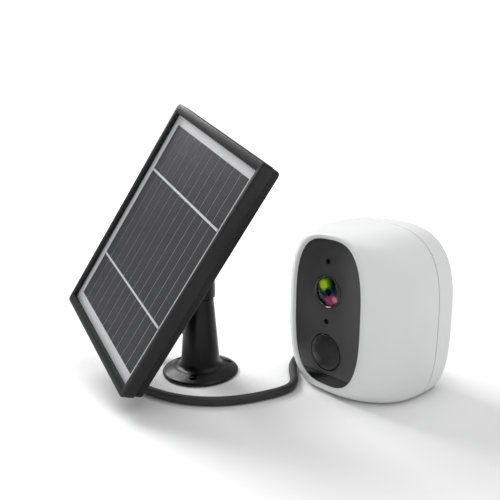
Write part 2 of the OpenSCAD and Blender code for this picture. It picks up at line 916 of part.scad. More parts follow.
// Rubber bush where the lead leaves the column, tapering down onto the lead
module cord_grommet() {
    face = column_r(grommet_z);
    tip = stand_x - cord_start[0];
    color("black")
        at_stand(grommet_z)
            rotate([0, -90, 0]) {
                translate([0, 0, column_bore_d / 2 + 1])
                    cylinder(h = face - column_bore_d / 2, d = column_bore_d - 2 * fit);
                translate([0, 0, face + 0.5])
                    cylinder(h = 1.4, d = column_bore_d + 3);
                translate([0, 0, face + 1.8])
                    cylinder(h = tip - face - 1.8, d1 = 8, d2 = cord_d + 1.2);
            }
}

// Hollow screw that holds the fork and lets the wires through
module pan_screw() {
    shank_low = column_h - 10;
    head_z = fork_z + fork_base_t - 2;
    color("silver")
        at_stand()
            difference() {
                union() {
                    translate([0, 0, shank_low])
                        cylinder(h = head_z - shank_low + fine, d = column_bore_d - 2 * running);
                    translate([0, 0, head_z])
                        cylinder(h = pan_head_t, d = pan_head_d);
                }
                translate([0, 0, shank_low - through])
                    cylinder(h = 40, d = 4);
            }
}

module swivel_fork() {
    top = fork_z + fork_base_t;
    color([0.09, 0.09, 0.09])
        at_stand()
            difference() {
                union() {
                    translate([0, 0, fork_z])
                        cylinder(h = fork_base_t, d = fork_d);
                    intersection() {
                        for (s = [-1, 1]) {
                            translate([s * (ear_in + ear_out) / 2 - ear_t / 2, -ear_d / 2 + 0.6, top - fine])
                                cube([ear_t, ear_d - 1.2, pivot_z - top + fine]);
                            translate([0, 0, pivot_z])
                                rod_x(s * (ear_in + ear_out) / 2 - ear_t / 2,
                                    s * (ear_in + ear_out) / 2 + ear_t / 2, ear_d);
                        }
                        translate([0, 0, fork_z])
                            cylinder(h = pivot_z, d = fork_d);
                    }
                }
                translate([0, 0, fork_z - through])
                    cylinder(h = fork_base_t + 2 * through, d = column_bore_d + 2 * running);
                translate([0, 0, top - 2])
                    cylinder(h = 2 + fine, d = pan_head_d + 1);
                translate([0, 0, pivot_z]) {
                    rod_x(-ear_out - through, ear_out + through, tilt_bolt_d + 2 * running);
                    rod_x(ear_out - nut_t, ear_out + through, (nut_af + 2 * fit) / cos(30), 6);
                }
            }
}

module tilt_nut() {
    color("silver")
        at_stand(pivot_z)
            difference() {
                rod_x(ear_out - nut_t, ear_out, nut_af / cos(30), 6);
                rod_x(0, ear_out + through, tilt_bolt_d + 2 * running);
            }
}

module tilt_knuckle() {
    color([0.09, 0.09, 0.09])
        at_tilt()
            difference() {
                union() {
                    rod_x(-knuckle_w / 2, knuckle_w / 2, knuckle_d);
                    translate([-knuckle_w / 2, -knuckle_d / 2 + 0.5, 0])
                        cube([knuckle_w, knuckle_d - 1, neck_start + fine]);
                    translate([0, 0, neck_start])
                        cylinder(h = neck_end - neck_start, d = neck_d);
                }
                rod_x(-knuckle_w, knuckle_w, tilt_bolt_d + 2 * running);
                translate([0, 0, stud_start - 0.3])
                    cylinder(h = neck_end, d = 8 + 2 * running);
            }
}

module tilt_bolt() {
    color("silver")
        at_stand(pivot_z)
            rod_x(-knob_x - knob_t + 2, ear_out - 0.4, tilt_bolt_d);
}

module tilt_knob() {
    lobes = 8;
    color([0.1, 0.1, 0.1])
        at_stand(pivot_z)
            difference() {
                rod_x(-knob_x - knob_t, -knob_x, knob_d);
                rod_x(-knob_x - knob_t + 2, -knob_x + through, tilt_bolt_d);
                for (i = [0:lobes - 1])
                    rotate([360 * i / lobes, 0, 0])
                        translate([-knob_x - 2, 0, knob_d / 2 + 0.6])
                            rod_x(-knob_t, 0, 3.4, 32);
            }
}

// ---------------------------------------------------------------- Cord

function unit(v) = v / norm(v);

// Ring of the cord at route point i, square to the way the route runs there
function cord_ring(i) =
    let (last = len(cord_lay) - 1)
    let (run = i == 0 ? [-1, 0, 0] : i == last ? [0, -1, 0] : unit(cord_lay[i + 1] - cord_lay[i - 1]))
    let (side = unit(cross([0, 0, 1], run)), up = cross(run, side))
    [for (k = [0:cord_sides - 1]) let (a = 360 * k / cord_sides)
        cord_lay[i] + cord_d / 2 * (cos(a) * side + sin(a) * up)];

module solar_cord() {
    color([0.15, 0.15, 0.15])
        skin([for (i = [0:len(cord_lay) - 1]) cord_ring(i)], flat_ends = true);
}

module plug_boot() {
    y0 = plug_y + plug_len;
    color([0.12, 0.12, 0.12])
        translate([usb_x, cord_end[1], cord_end[2]])
            rotate([90, 0, 0])
                cylinder(h = cord_end[1] - y0, d1 = cord_d + 0.8, d2 = boot_d);
}

module plug_body() {
    color([0.12, 0.12, 0.12])
        slab(plug_y, plug_y + plug_len)
            translate([usb_x, port_z])
                round_rect(plug_w, plug_h, 2);
}

module plug_tip() {
    color("silver")
        slab(port_y - 5.6, plug_y)
            translate([usb_x, port_z])
                round_rect(usb_w - 1.1, usb_h - 1.1, 0.5);
}

// ---------------------------------------------------------------- Nodes

front_shell();
rear_cap();
seam_gasket();
face_plate();
ir_window();
lens_ring();
lens_window();
front_element();
lens_barrel();
lens_holder();
image_sensor_board();
ir_lamp_board();
pir_dome();
pir_sensor();
status_light();
microphone();
chassis_plate();
chassis_screws();
main_board();
battery_cells();
battery_cradle();
speaker();
wireless_antenna();
port_board();
usb_socket();
card_socket();
memory_card();
power_button();
port_flap();
tripod_insert();
foot_pad();
panel_bezel();
panel_glass();
white_backsheet();
cell_strips();
bus_ribbons();
panel_back();
panel_screws();
charge_board();
turning_plate();
stand_column();
stand_pad();
cord_grommet();
pan_screw();
swivel_fork();
tilt_nut();
tilt_knuckle();
tilt_bolt();
tilt_knob();
solar_cord();
plug_boot();
plug_body();
plug_tip();
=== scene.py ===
"""Battery security camera, wired to a small solar panel on a jointed stand.

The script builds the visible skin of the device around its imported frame: the two-part white
housing, the smoked face plate with its lens and motion sensor, the solar panel, the stand and the
charging lead. Sizes are millimetres in the classes below and become metres when a piece is placed.
"""

import logging
import math
from collections.abc import Sequence
from dataclasses import dataclass, field
from enum import Enum

import bmesh
import bpy
from mathutils import Matrix, Vector


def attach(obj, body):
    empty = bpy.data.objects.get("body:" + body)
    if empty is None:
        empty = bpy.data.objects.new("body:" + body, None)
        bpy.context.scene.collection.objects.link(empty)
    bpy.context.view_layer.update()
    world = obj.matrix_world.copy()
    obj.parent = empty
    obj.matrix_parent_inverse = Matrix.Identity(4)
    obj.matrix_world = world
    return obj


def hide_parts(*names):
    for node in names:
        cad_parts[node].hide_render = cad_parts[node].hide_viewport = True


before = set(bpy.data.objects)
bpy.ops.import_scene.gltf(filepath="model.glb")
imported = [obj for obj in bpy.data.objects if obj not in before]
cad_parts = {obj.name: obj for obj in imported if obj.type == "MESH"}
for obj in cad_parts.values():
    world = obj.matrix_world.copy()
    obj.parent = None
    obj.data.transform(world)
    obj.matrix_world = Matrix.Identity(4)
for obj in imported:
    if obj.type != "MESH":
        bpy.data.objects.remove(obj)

LOG = logging.getLogger("solar_camera")
MM = 0.001
MM_PER_METRE = 1000
TO_METRES = Matrix.Scale(MM, 4)
RUNS = 192  # points around the housing

Ring = list[Vector]


class Body(Enum):
    """Rigid bodies of the frame that the pieces ride on."""

    BASE = "base"
    SWIVEL = "swivel"
    KNUCKLE = "knuckle"
    PANEL = "panel"
    TILT_SCREW = "tilt_screw"
    CARD = "card"
    BUTTON = "button"
    FLAP = "flap"


# ------------------------------------------------------------ Materials


def linear(code: str) -> tuple[float, float, float, float]:
    """Turn an sRGB hex colour into linear values.

    Args:
        code: Six hex digits, with or without a leading hash.

    Returns:
        Red, green, blue and an alpha of one.
    """
    digits = code.lstrip("#")
    parts = [int(digits[i : i + 2], 16) / 255 for i in (0, 2, 4)]
    light = [c / 12.92 if c <= 0.04045 else ((c + 0.055) / 1.055) ** 2.4 for c in parts]
    return (light[0], light[1], light[2], 1.0)


def add_node(
    tree: bpy.types.NodeTree, kind: str, inputs: dict | None = None, **settings: object
) -> bpy.types.Node:
    """Add a shader node with its settings, values and links.

    Args:
        tree: Node tree that gets the node.
        kind: Blender's name of the node type.
        inputs: Input names or numbers, each with a value or the socket that feeds it.
        **settings: Attributes of the node.

    Returns:
        The new node.
    """
    made = tree.nodes.new(kind)
    for name, value in settings.items():
        setattr(made, name, value)
    for name, value in (inputs or {}).items():
        if isinstance(value, bpy.types.NodeSocket):
            tree.links.new(value, made.inputs[name])
        else:
            made.inputs[name].default_value = value
    return made


@dataclass(frozen=True)
class Finish:
    """A surface finish: one shader with fine grain, faint mottling and its own roughness.

    The grain is a bump of the mould's or tool's texture, and the mottling is the slight change of
    tone and gloss that any real surface has over a few centimetres.
    """

    name: str
    colour: str
    roughness: float
    metallic: float = 0.0
    grain_mm: float = 0.5
    grain_depth_mm: float = 0.01
    mottle_mm: float = 22.0
    mottle: float = 0.03
    roughness_spread: float = 0.06
    gloss_fineness: float = 2.6
    grain_strength: float = 0.6
    settings: dict = field(default_factory=dict)

    def coordinates(self, tree: bpy.types.NodeTree) -> bpy.types.NodeSocket:
        """Object coordinates, in metres."""
        return add_node(tree, "ShaderNodeTexCoord").outputs["Object"]

    def tone(self, tree: bpy.types.NodeTree, place: bpy.types.NodeSocket) -> bpy.types.NodeSocket:
        """Base colour with soft mottling.

        Args:
            tree: Node tree of the material.
            place: Coordinates of the surface.

        Returns:
            Socket that carries the colour.
        """
        cloud = add_node(
            tree,
            "ShaderNodeTexNoise",
            {"Vector": place, "Scale": MM_PER_METRE / self.mottle_mm, "Detail": 3.0},
        )
        base = linear(self.colour)
        dim = tuple(c * (1 - self.mottle) for c in base[:3]) + (1.0,)
        lit = tuple(min(1.0, c * (1 + self.mottle)) for c in base[:3]) + (1.0,)
        mix = add_node(
            tree,
            "ShaderNodeMix",
            {"Factor": cloud.outputs["Fac"], "A": dim, "B": lit},
            data_type="RGBA",
        )
        return mix.outputs["Result"]

    def gloss(self, tree: bpy.types.NodeTree, place: bpy.types.NodeSocket) -> bpy.types.NodeSocket:
        """Roughness that drifts a little over the surface.

        Args:
            tree: Node tree of the material.
            place: Coordinates of the surface.

        Returns:
            Socket that carries the roughness.
        """
        cloud = add_node(
            tree,
            "ShaderNodeTexNoise",
            {
                "Vector": place,
                "Scale": self.gloss_fineness * MM_PER_METRE / self.mottle_mm,
                "Detail": 2.0,
            },
        )
        ramp = add_node(
            tree,
            "ShaderNodeMapRange",
            {
                "Value": cloud.outputs["Fac"],
                "From Min": 0.3,
                "From Max": 0.7,
                "To Min": max(0.0, self.roughness - self.roughness_spread),
                "To Max": min(1.0, self.roughness + self.roughness_spread),
            },
        )
        return ramp.outputs["Result"]

    def relief(self, tree: bpy.types.NodeTree, place: bpy.types.NodeSocket) -> bpy.types.NodeSocket:
        """Bump of the surface's grain.

        Args:
            tree: Node tree of the material.
            place: Coordinates of the surface.

        Returns:
            Socket that carries the normal.
        """
        grain = add_node(
            tree,
            "ShaderNodeTexNoise",
            {"Vector": place, "Scale": MM_PER_METRE / self.grain_mm, "Detail": 2.0},
        )
        bump = add_node(
            tree,
            "ShaderNodeBump",
            {
                "Height": grain.outputs["Fac"],
                "Strength": self.grain_strength,
                "Distance": self.grain_depth_mm * MM,
            },
        )
        return bump.outputs["Normal"]

    def build(self) -> bpy.types.Material:
        """Build the material, once for all the pieces that share it."""
        found = bpy.data.materials.get(self.name)
        if found:
            return found
        material = bpy.data.materials.new(self.name)
        material.use_nodes = True
        tree = material.node_tree
        tree.nodes.clear()
        place = self.coordinates(tree)
        shader = add_node(
            tree,
            "ShaderNodeBsdfPrincipled",
            {
                "Base Color": self.tone(tree, place),
                "Roughness": self.gloss(tree, place),
                "Normal": self.relief(tree, place),
                "Metallic": self.metallic,
                **self.settings,
            },
        )
        add_node(tree, "ShaderNodeOutputMaterial", {"Surface": shader.outputs["BSDF"]})
        return material


@dataclass(frozen=True)
class PanelFinish(Finish):
    """A finish whose pattern follows the tilted and turned panel."""

    def coordinates(self, tree: bpy.types.NodeTree) -> bpy.types.NodeSocket:
        """Coordinates in the panel's own axes: X across it, Y along it."""
        place = add_node(tree, "ShaderNodeTexCoord").outputs["Object"]
        back = panel_matrix().inverted()
        turned = add_node(
            tree,
            "ShaderNodeMapping",
            {"Vector": place, "Location": back.translation * MM, "Rotation": back.to_euler("XYZ")},
        )
        return turned.outputs["Vector"]


@dataclass(frozen=True)
class CellFinish(PanelFinish):
    """Monocrystalline silicon under glass: near-black grey with hair-thin silver fingers on it.

    The fingers are 0.1 mm wide on a real cell and are drawn 0.27 mm wide so that they still show
    as a fine weave across each strip.
    """

    finger_pitch_mm: float = 1.6
    finger_share: float = 0.17
    finger_colour: str = "#77787c"
    finger_strength: float = 0.34

    def tone(self, tree: bpy.types.NodeTree, place: bpy.types.NodeSocket) -> bpy.types.NodeSocket:
        """Silicon tone with its fingers.

        Args:
            tree: Node tree of the material.
            place: Coordinates of the surface, in the panel's axes.

        Returns:
            Socket that carries the colour.
        """
        plain = Finish.tone(self, tree, place)
        axes = add_node(tree, "ShaderNodeSeparateXYZ", {"Vector": place})
        step = add_node(
            tree,
            "ShaderNodeMath",
            {0: axes.outputs["Y"], 1: MM_PER_METRE / self.finger_pitch_mm},
            operation="MULTIPLY",
        )
        saw = add_node(tree, "ShaderNodeMath", {0: step.outputs[0]}, operation="FRACT")
        line = add_node(
            tree, "ShaderNodeMath", {0: saw.outputs[0], 1: self.finger_share}, operation="LESS_THAN"
        )
        faint = add_node(
            tree,
            "ShaderNodeMath",
            {0: line.outputs[0], 1: self.finger_strength},
            operation="MULTIPLY",
        )
        mix = add_node(
            tree,
            "ShaderNodeMix",
            {"Factor": faint.outputs[0], "A": plain, "B": linear(self.finger_colour)},
            data_type="RGBA",
        )
        return mix.outputs["Result"]


@dataclass(frozen=True)
class PaintedGlowPaperFinish(Finish):
    """Studio paper with painted light: a glow that grows the farther the paper lies from the
    device, standing in for a backlit sweep.
    """

    near: float = 0.3
    far: float = 1.4
    glow: float = 0.8

    def build(self) -> bpy.types.Material:
        """Paper with its painted glow joined to the emission of the shader."""
        made = Finish.build(self)
        tree = made.node_tree
        shader = next(node for node in tree.nodes if node.type == "BSDF_PRINCIPLED")
        place = add_node(tree, "ShaderNodeTexCoord").outputs["Object"]
        reach = add_node(tree, "ShaderNodeVectorMath", {0: place}, operation="LENGTH")
        share = add_node(
            tree,
            "ShaderNodeMapRange",
            {
                "Value": reach.outputs["Value"],
                "From Min": self.near,
                "From Max": self.far,
                "To Max": self.glow,
            },
        )
        shader.inputs["Emission Color"].default_value = linear("#ffffff")
        tree.links.new(share.outputs["Result"], shader.inputs["Emission Strength"])
        return made


@dataclass(frozen=True)
class CoatedOptic(Finish):
    """Multi-coated lens glass: black depth, with the coating's reflections painted into its colour
    as a green-gold patch above and a magenta patch below.
    """

    centre: tuple[float, float, float] = (0.0, 0.0, 0.0)
    radius_mm: float = 6.6
    wave_scale: float = 420.0
    wave_share: float = 0.11
    core_share: float = 0.45

    def tone(self, tree: bpy.types.NodeTree, place: bpy.types.NodeSocket) -> bpy.types.NodeSocket:
        """Painted reflections of the coating: soft coloured patches around a dark middle.

        Args:
            tree: Node tree of the material.
            place: Coordinates of the surface.

        Returns:
            Socket that carries the colour.
        """
        local = add_node(
            tree, "ShaderNodeMapping", {"Vector": place, "Location": [-c * MM for c in self.centre]}
        ).outputs["Vector"]
        colour: bpy.types.NodeSocket | None = None
        for painted_reflection in self.reflection_patches():
            spot = self.spot(tree, local, painted_reflection)
            base = colour if colour else linear(self.colour)
            mix = add_node(
                tree,
                "ShaderNodeMix",
                {"Factor": spot, "A": base, "B": linear(painted_reflection.colour)},
                data_type="RGBA",
            )
            colour = mix.outputs["Result"]
        return colour

    def reflection_patches(self) -> list["PaintedReflection"]:
        """Painted reflections of the coating as coloured patches, from the back one to the front
        one.
        """
        return [
            # Each patch is a painted reflection of the coating, not a colour that the glass has
            # under any lamp.
            PaintedReflection("#123c60", 0.12, -0.06, 0.72),
            PaintedReflection("#b0406e", 0.34, -0.60, 0.66),
            PaintedReflection("#e58fb0", 0.62, -0.46, 0.30),
            PaintedReflection("#4f9a24", -0.34, 0.52, 0.74),
            PaintedReflection("#dcf03c", -0.42, 0.46, 0.46),
            PaintedReflection("#060a12", 0.06, 0.0, 0.36),
        ]

    def spot(
        self, tree: bpy.types.NodeTree, local: bpy.types.NodeSocket, painted_reflection: "PaintedReflection"
    ) -> bpy.types.NodeSocket:
        """Soft round mask of one painted reflection.

        Args:
            tree: Node tree of the material.
            local: Coordinates from the middle of the glass.
            painted_reflection: The patch of painted reflection.

        Returns:
            Socket that carries the mask, from 0 to 1.
        """
        reach = self.radius_mm * MM
        middle = (painted_reflection.x * reach, 0.0, painted_reflection.z * reach)
        wave = add_node(
            tree, "ShaderNodeTexNoise", {"Vector": local, "Scale": self.wave_scale, "Detail": 1.0}
        )
        flat = add_node(
            tree, "ShaderNodeVectorMath", {0: local, 1: (1.0, 0.0, 1.0)}, operation="MULTIPLY"
        )
        gap = add_node(
            tree, "ShaderNodeVectorMath", {0: flat.outputs[0], 1: middle}, operation="DISTANCE"
        )
        swing = self.wave_share * reach
        jitter = add_node(
            tree,
            "ShaderNodeMath",
            {0: wave.outputs["Fac"], 1: 2 * swing, 2: -swing},
            operation="MULTIPLY_ADD",
        )
        soft = add_node(
            tree, "ShaderNodeMath", {0: gap.outputs["Value"], 1: jitter.outputs[0]}, operation="ADD"
        )
        mask = add_node(
            tree,
            "ShaderNodeMapRange",
            {
                "Value": soft.outputs[0],
                "From Min": painted_reflection.size * reach * self.core_share,
                "From Max": painted_reflection.size * reach,
                "To Min": 1.0,
                "To Max": 0.0,
            },
            interpolation_type="SMOOTHSTEP",
        )
        return mask.outputs["Result"]


@dataclass(frozen=True)
class PaintedReflection:
    """One painted reflection of a lens coating: a coloured patch, placed in shares of the lens
    radius.
    """

    colour: str
    x: float
    z: float
    size: float


# Injection-moulded ABS, spark-eroded mould: white and silky, its grain only softens the highlight
WHITE_ABS = Finish(
    "moulded_white_abs",
    "#eceded",
    0.42,
    grain_mm=0.7,
    grain_depth_mm=0.006,
    mottle=0.012,
    settings={
        "Subsurface Weight": 0.08,
        "Subsurface Radius": (0.004, 0.004, 0.004),
        "Subsurface Scale": 0.5,
        "IOR": 1.53,
    },
)
# Foam silicone in the seam: a matte grey line
SEAM_SILICONE = Finish("seam_silicone", "#8d8f92", 0.8, settings={"IOR": 1.41})
# Smoked acrylic with a satin hard coat: an even charcoal that still mirrors a little at a slant
SMOKED_ACRYLIC = Finish(
    "smoked_acrylic",
    "#3b3b3c",
    0.36,
    grain_mm=1.1,
    grain_depth_mm=0.002,
    mottle=0.02,
    settings={"IOR": 1.49, "Coat Weight": 0.15, "Coat Roughness": 0.22},
)
# Infrared-pass polycarbonate: a deeper, glossier black than the plate
INFRARED_WINDOW = Finish(
    "infrared_polycarbonate",
    "#161617",
    0.26,
    grain_mm=1.6,
    grain_depth_mm=0.001,
    mottle=0.02,
    settings={"IOR": 1.58, "Specular IOR Level": 0.35},
)
# Gloss-moulded ABS around the lens: thin bright edge on near-black
LENS_SURROUND = Finish(
    "gloss_lens_surround",
    "#29292b",
    0.22,
    grain_mm=1.5,
    grain_depth_mm=0.001,
    settings={"IOR": 1.53, "Coat Weight": 0.3, "Coat Roughness": 0.08},
)
# Anodised and blacked barrel inside the lens: dead matte and near-black, partly its own black and
# partly painted shade so that it reads as depth; the microphone takes it too, as painted shade in
# its pin hole
BLACK_BARREL_AND_HOLE_SHADE = Finish(
    "black_barrel_and_painted_shade", "#040405", 0.8, settings={"Specular IOR Level": 0.1}
)
# High-density polyethylene of the motion sensor's lens: soft gloss, faintly waxy black
SENSOR_POLYETHYLENE = Finish(
    "sensor_polyethylene",
    "#19191a",
    0.42,
    grain_mm=0.9,
    grain_depth_mm=0.003,
    settings={"IOR": 1.54, "Specular IOR Level": 0.35},
)
# Satin moulded ABS of the panel frame: charcoal with a fine even grain
FRAME_ABS = Finish(
    "satin_frame_abs",
    "#161617",
    0.4,
    grain_mm=0.8,
    grain_depth_mm=0.008,
    settings={"IOR": 1.53, "Specular IOR Level": 0.3},
)
# Glass-filled nylon of the stand: black, satin, with slightly cloudy gloss from its fibres
STAND_NYLON = Finish(
    "moulded_stand_nylon",
    "#0e0e0f",
    0.36,
    grain_mm=0.9,
    grain_depth_mm=0.01,
    mottle=0.08,
    roughness_spread=0.08,
    settings={"IOR": 1.53, "Specular IOR Level": 0.25},
)
# Low-iron panel glass over the cells: the alpha stands for its transparency
PANEL_GLASS = PanelFinish(
    "panel_glass",
    "#101216",
    0.12,
    grain_depth_mm=0.0,
    mottle=0.0,
    roughness_spread=0.02,
    settings={"IOR": 1.52, "Alpha": 0.06, "Specular IOR Level": 0.4},
)
# Laminated polyester backsheet: flat white, greyed by the glass above it
BACKSHEET = PanelFinish(
    "polyester_backsheet",
    "#f0f0f2",
    0.5,
    grain_mm=0.9,
    grain_depth_mm=0.004,
    mottle=0.015,
    settings={"IOR": 1.57},
)
CELL_SILICON = CellFinish(
    "cell_silicon",
    "#3c3c40",
    0.4,
    grain_mm=0.6,
    grain_depth_mm=0.003,
    mottle=0.03,
    mottle_mm=16.0,
    settings={"IOR": 1.6, "Specular IOR Level": 0.3},
)
# Tinned copper ribbon: dull silver
TINNED_RIBBON = PanelFinish("tinned_copper_ribbon", "#e6e7e9", 0.5, metallic=0.3, grain_mm=0.8)
# Thermoplastic elastomer of the lead: dark grey, matte, slightly rubbery
LEAD_RUBBER = Finish(
    "elastomer_lead", "#2d2d2e", 0.55, grain_mm=0.9, grain_depth_mm=0.012, settings={"IOR": 1.5}
)
# Moulded rubber of the bush and the foot pads
BLACK_RUBBER = Finish(
    "moulded_black_rubber",
    "#161617",
    0.7,
    grain_mm=0.6,
    grain_depth_mm=0.02,
    settings={"IOR": 1.52},
)
# Pale silicone of the flap, button and camera foot
GREY_SILICONE = Finish(
    "pale_silicone",
    "#c9cacb",
    0.62,
    grain_mm=0.7,
    grain_depth_mm=0.01,
    settings={
        "IOR": 1.41,
        "Subsurface Weight": 0.1,
        "Subsurface Radius": (0.003, 0.003, 0.003),
        "Subsurface Scale": 0.5,
    },
)
# Black-oxide steel of the screws and bolt
BLACK_OXIDE = Finish("black_oxide_steel", "#3a3b3d", 0.38, metallic=0.9, grain_mm=0.5)
# Nickel-plated steel of sockets and shields
NICKEL_PLATE = Finish(
    "nickel_plated_steel", "#b9b7b0", 0.26, metallic=1.0, grain_mm=0.4, grain_depth_mm=0.004
)
# Turned brass of the tripod insert
TURNED_BRASS = Finish(
    "turned_brass", "#c9a055", 0.28, metallic=1.0, grain_mm=0.3, grain_depth_mm=0.004
)
# Glass-epoxy circuit board under green solder mask
CIRCUIT_BOARD = Finish(
    "green_solder_mask",
    "#14502f",
    0.4,
    grain_mm=1.2,
    grain_depth_mm=0.02,
    mottle=0.2,
    mottle_mm=5.0,
    settings={"IOR": 1.55},
)
# Black moulded parts inside the housing
INNER_ABS = Finish("moulded_inner_abs", "#1b1b1d", 0.5, settings={"IOR": 1.53})
# Shrink film on the battery cells
CELL_WRAP = Finish("battery_shrink_film", "#2f5f9c", 0.3, settings={"IOR": 1.55})
# Frosted acrylic of the status light, painted near-black as the shade inside its pin hole
LIGHT_PIPE_HOLE_SHADE = Finish(
    "light_pipe_painted_shade", "#030304", 0.7, settings={"IOR": 1.49, "Specular IOR Level": 0.1}
)
# Matt white paper of the studio floor, which runs on into the backdrop, with a painted glow that
# grows away from the device
STUDIO_PAPER = PaintedGlowPaperFinish(
    "studio_paper", "#f6f6f6", 0.9, grain_mm=2.0, grain_depth_mm=0.0, mottle=0.004
)


# ------------------------------------------------------------ Places


@dataclass(frozen=True)
class Stand:
    """Place of the stand and the directions of its joints, in millimetres and degrees."""

    x: float = -71.6
    y: float = -64.6
    pivot_z: float = 72.0
    tilt: float = 24.0
    roll: float = 21.0


def stand_matrix(z: float = 0.0) -> Matrix:
    """Frame that stands on the stand's axis at a height."""
    return Matrix.Translation((Stand.x, Stand.y, z))


def tilt_matrix() -> Matrix:
    """Frame of the tilted parts: +Z leaves the pivot towards the panel's front."""
    return stand_matrix(Stand.pivot_z) @ Matrix.Rotation(math.radians(90 - Stand.tilt), 4, "X")


def clamp_matrix(side: int) -> Matrix:
    """Frame on the tilt axis: +Z points along +X for a side of 1, and along -X for -1."""
    return stand_matrix(Stand.pivot_z) @ Matrix.Rotation(math.radians(90 * side), 4, "Y")


def panel_matrix() -> Matrix:
    """Frame of the panel: +X to its right and +Y up along it, seen from its front."""
    return tilt_matrix() @ Matrix.Rotation(math.radians(-Stand.roll), 4, "Z")


def facing_matrix(x: float, y: float, z: float) -> Matrix:
    """Frame on the camera's front: +Z leaves the face, +X is to the row's right."""
    return Matrix.Translation((x, y, z)) @ Matrix.Rotation(math.radians(90), 4, "X")


def rear_matrix(x: float, y: float, z: float) -> Matrix:
    """Frame on the camera's back: +Z leaves the back, +Y is up."""
    turn = Matrix(((-1, 0, 0, 0), (0, 0, 1, 0), (0, 1, 0, 0), (0, 0, 0, 1)))
    return Matrix.Translation((x, y, z)) @ turn


# ------------------------------------------------------------ Mesh helpers


def unit_superellipse(angle: float, power: float) -> tuple[float, float]:
    """Point of a unit superellipse in a direction.

    Args:
        angle: Direction in radians.
        power: Exponent of the curve, 2 for a circle.

    Returns:
        The point's two coordinates.
    """
    c, s = math.cos(angle), math.sin(angle)
    reach = (abs(c) ** power + abs(s) ** power) ** (-1 / power)
    return c * reach, s * reach


def rounded_rect(width: float, height: float, radius: float, z: float, steps: int = 6) -> Ring:
    """Ring in the shape of a rectangle with round corners.

    Args:
        width: Size along X.
        height: Size along Y.
        radius: Corner radius.
        z: Height of the ring.
        steps: Segments of each corner.

    Returns:
        The ring's points, anticlockwise.
    """
    ring = []
    corners = [(1, 1), (-1, 1), (-1, -1), (1, -1)]
    for number, (sx, sy) in enumerate(corners):
        for i in range(steps + 1):
            angle = math.pi / 2 * (number + i / steps)
            ring.append(
                Vector(
                    (
                        sx * (width / 2 - radius) + radius * math.cos(angle),
                        sy * (height / 2 - radius) + radius * math.sin(angle),
                        z,
                    )
                )
            )
    return ring


def soft_block(
    width: float,
    height: float,
    radius: float,
    low: float,
    high: float,
    low_edge: float,
    high_edge: float,
    steps: int = 4,
) -> list[Ring]:
    """Rings of a block with round corners and rounded rims.

    Args:
        width: Size along X.
        height: Size along Y.
        radius: Corner radius seen from above.
        low: Height of the underside.
        high: Height of the top.
        low_edge: Radius of the lower rim.
        high_edge: Radius of the upper rim.
        steps: Segments of each rim.

    Returns:
        Rings from the underside to the top.
    """
    rings = []
    for edge, face, side in ((low_edge, low, -1), (high_edge, high, 1)):
        turns = range(steps + 1) if side < 0 else range(steps, -1, -1)
        for i in turns:
            a = math.pi / 2 * i / steps
            inset = edge * (1 - math.sin(a))
            z = face - side * edge * (1 - math.cos(a))
            rings.append(
                rounded_rect(width - 2 * inset, height - 2 * inset, max(0.05, radius - inset), z)
            )
    return rings


def loft(
    rings: Sequence[Ring], wrap: bool = False, poles: tuple[bool, bool] = (False, False)
) -> bmesh.types.BMesh:
    """Skin a list of rings by extruding one ring's edges onto the next.

    Args:
        rings: Rings with the same number of points.
        wrap: Whether the last ring joins the first, as in a tube wall.
        poles: Whether the first and the last ring each close to a point instead of a flat lid.

    Returns:
        A closed mesh.
    """
    bm = bmesh.new()
    made = bmesh.ops.create_circle(bm, segments=len(rings[0]), radius=1.0, cap_ends=False)
    loop = made["verts"]
    for vert, place in zip(loop, rings[0]):
        vert.co = place
    first = loop
    for ring in rings[1:]:
        edges = [bm.edges.get((loop[i - 1], loop[i])) for i in range(len(loop))]
        grown = bmesh.ops.extrude_edge_only(bm, edges=edges)
        new_edges = [e for e in grown["geom"] if isinstance(e, bmesh.types.BMEdge)]
        new_verts = {v for v in grown["geom"] if isinstance(v, bmesh.types.BMVert)}
        partner = {}
        for face in {f for e in new_edges for f in e.link_faces}:
            for edge in face.edges:
                ends = set(edge.verts)
                if len(ends & new_verts) == 1:
                    top = (ends & new_verts).pop()
                    partner[(ends - {top}).pop()] = top
        loop = [partner[v] for v in loop]
        for vert, place in zip(loop, ring):
            vert.co = place
    if wrap:
        edges = [
            bm.edges.get((ends[i - 1], ends[i])) for ends in (first, loop) for i in range(len(ends))
        ]
        bmesh.ops.bridge_loops(bm, edges=edges)
    else:
        for ends, pole in ((first, poles[0]), (loop, poles[1])):
            if pole:
                middle = sum((v.co for v in ends), Vector()) / len(ends)
                bmesh.ops.pointmerge(bm, verts=ends, merge_co=middle)
            else:
                bmesh.ops.contextual_create(bm, geom=ends)
    return bm


def revolve(profile: Sequence[tuple[float, float]], steps: int = 96) -> bmesh.types.BMesh:
    """Turn a profile about the Z axis.

    Args:
        profile: Points as radius and height, from the inside round to the outside; a radius of 0
            is on the axis.
        steps: Segments around.

    Returns:
        A closed mesh.
    """
    bm = bmesh.new()
    verts = [bm.verts.new((r, 0.0, z)) for r, z in profile]
    on_axis = [abs(profile[i][0]) < 1e-9 for i in (0, -1)]
    pairs = list(zip(verts, verts[1:]))
    if not all(on_axis):
        pairs.append((verts[-1], verts[0]))
    edges = [bm.edges.new(pair) for pair in pairs]
    bmesh.ops.spin(
        bm,
        geom=verts + edges,
        cent=(0, 0, 0),
        axis=(0, 0, 1),
        angle=math.tau,
        steps=steps,
        use_merge=True,
    )
    bmesh.ops.remove_doubles(bm, verts=bm.verts, dist=1e-4)
    return bm


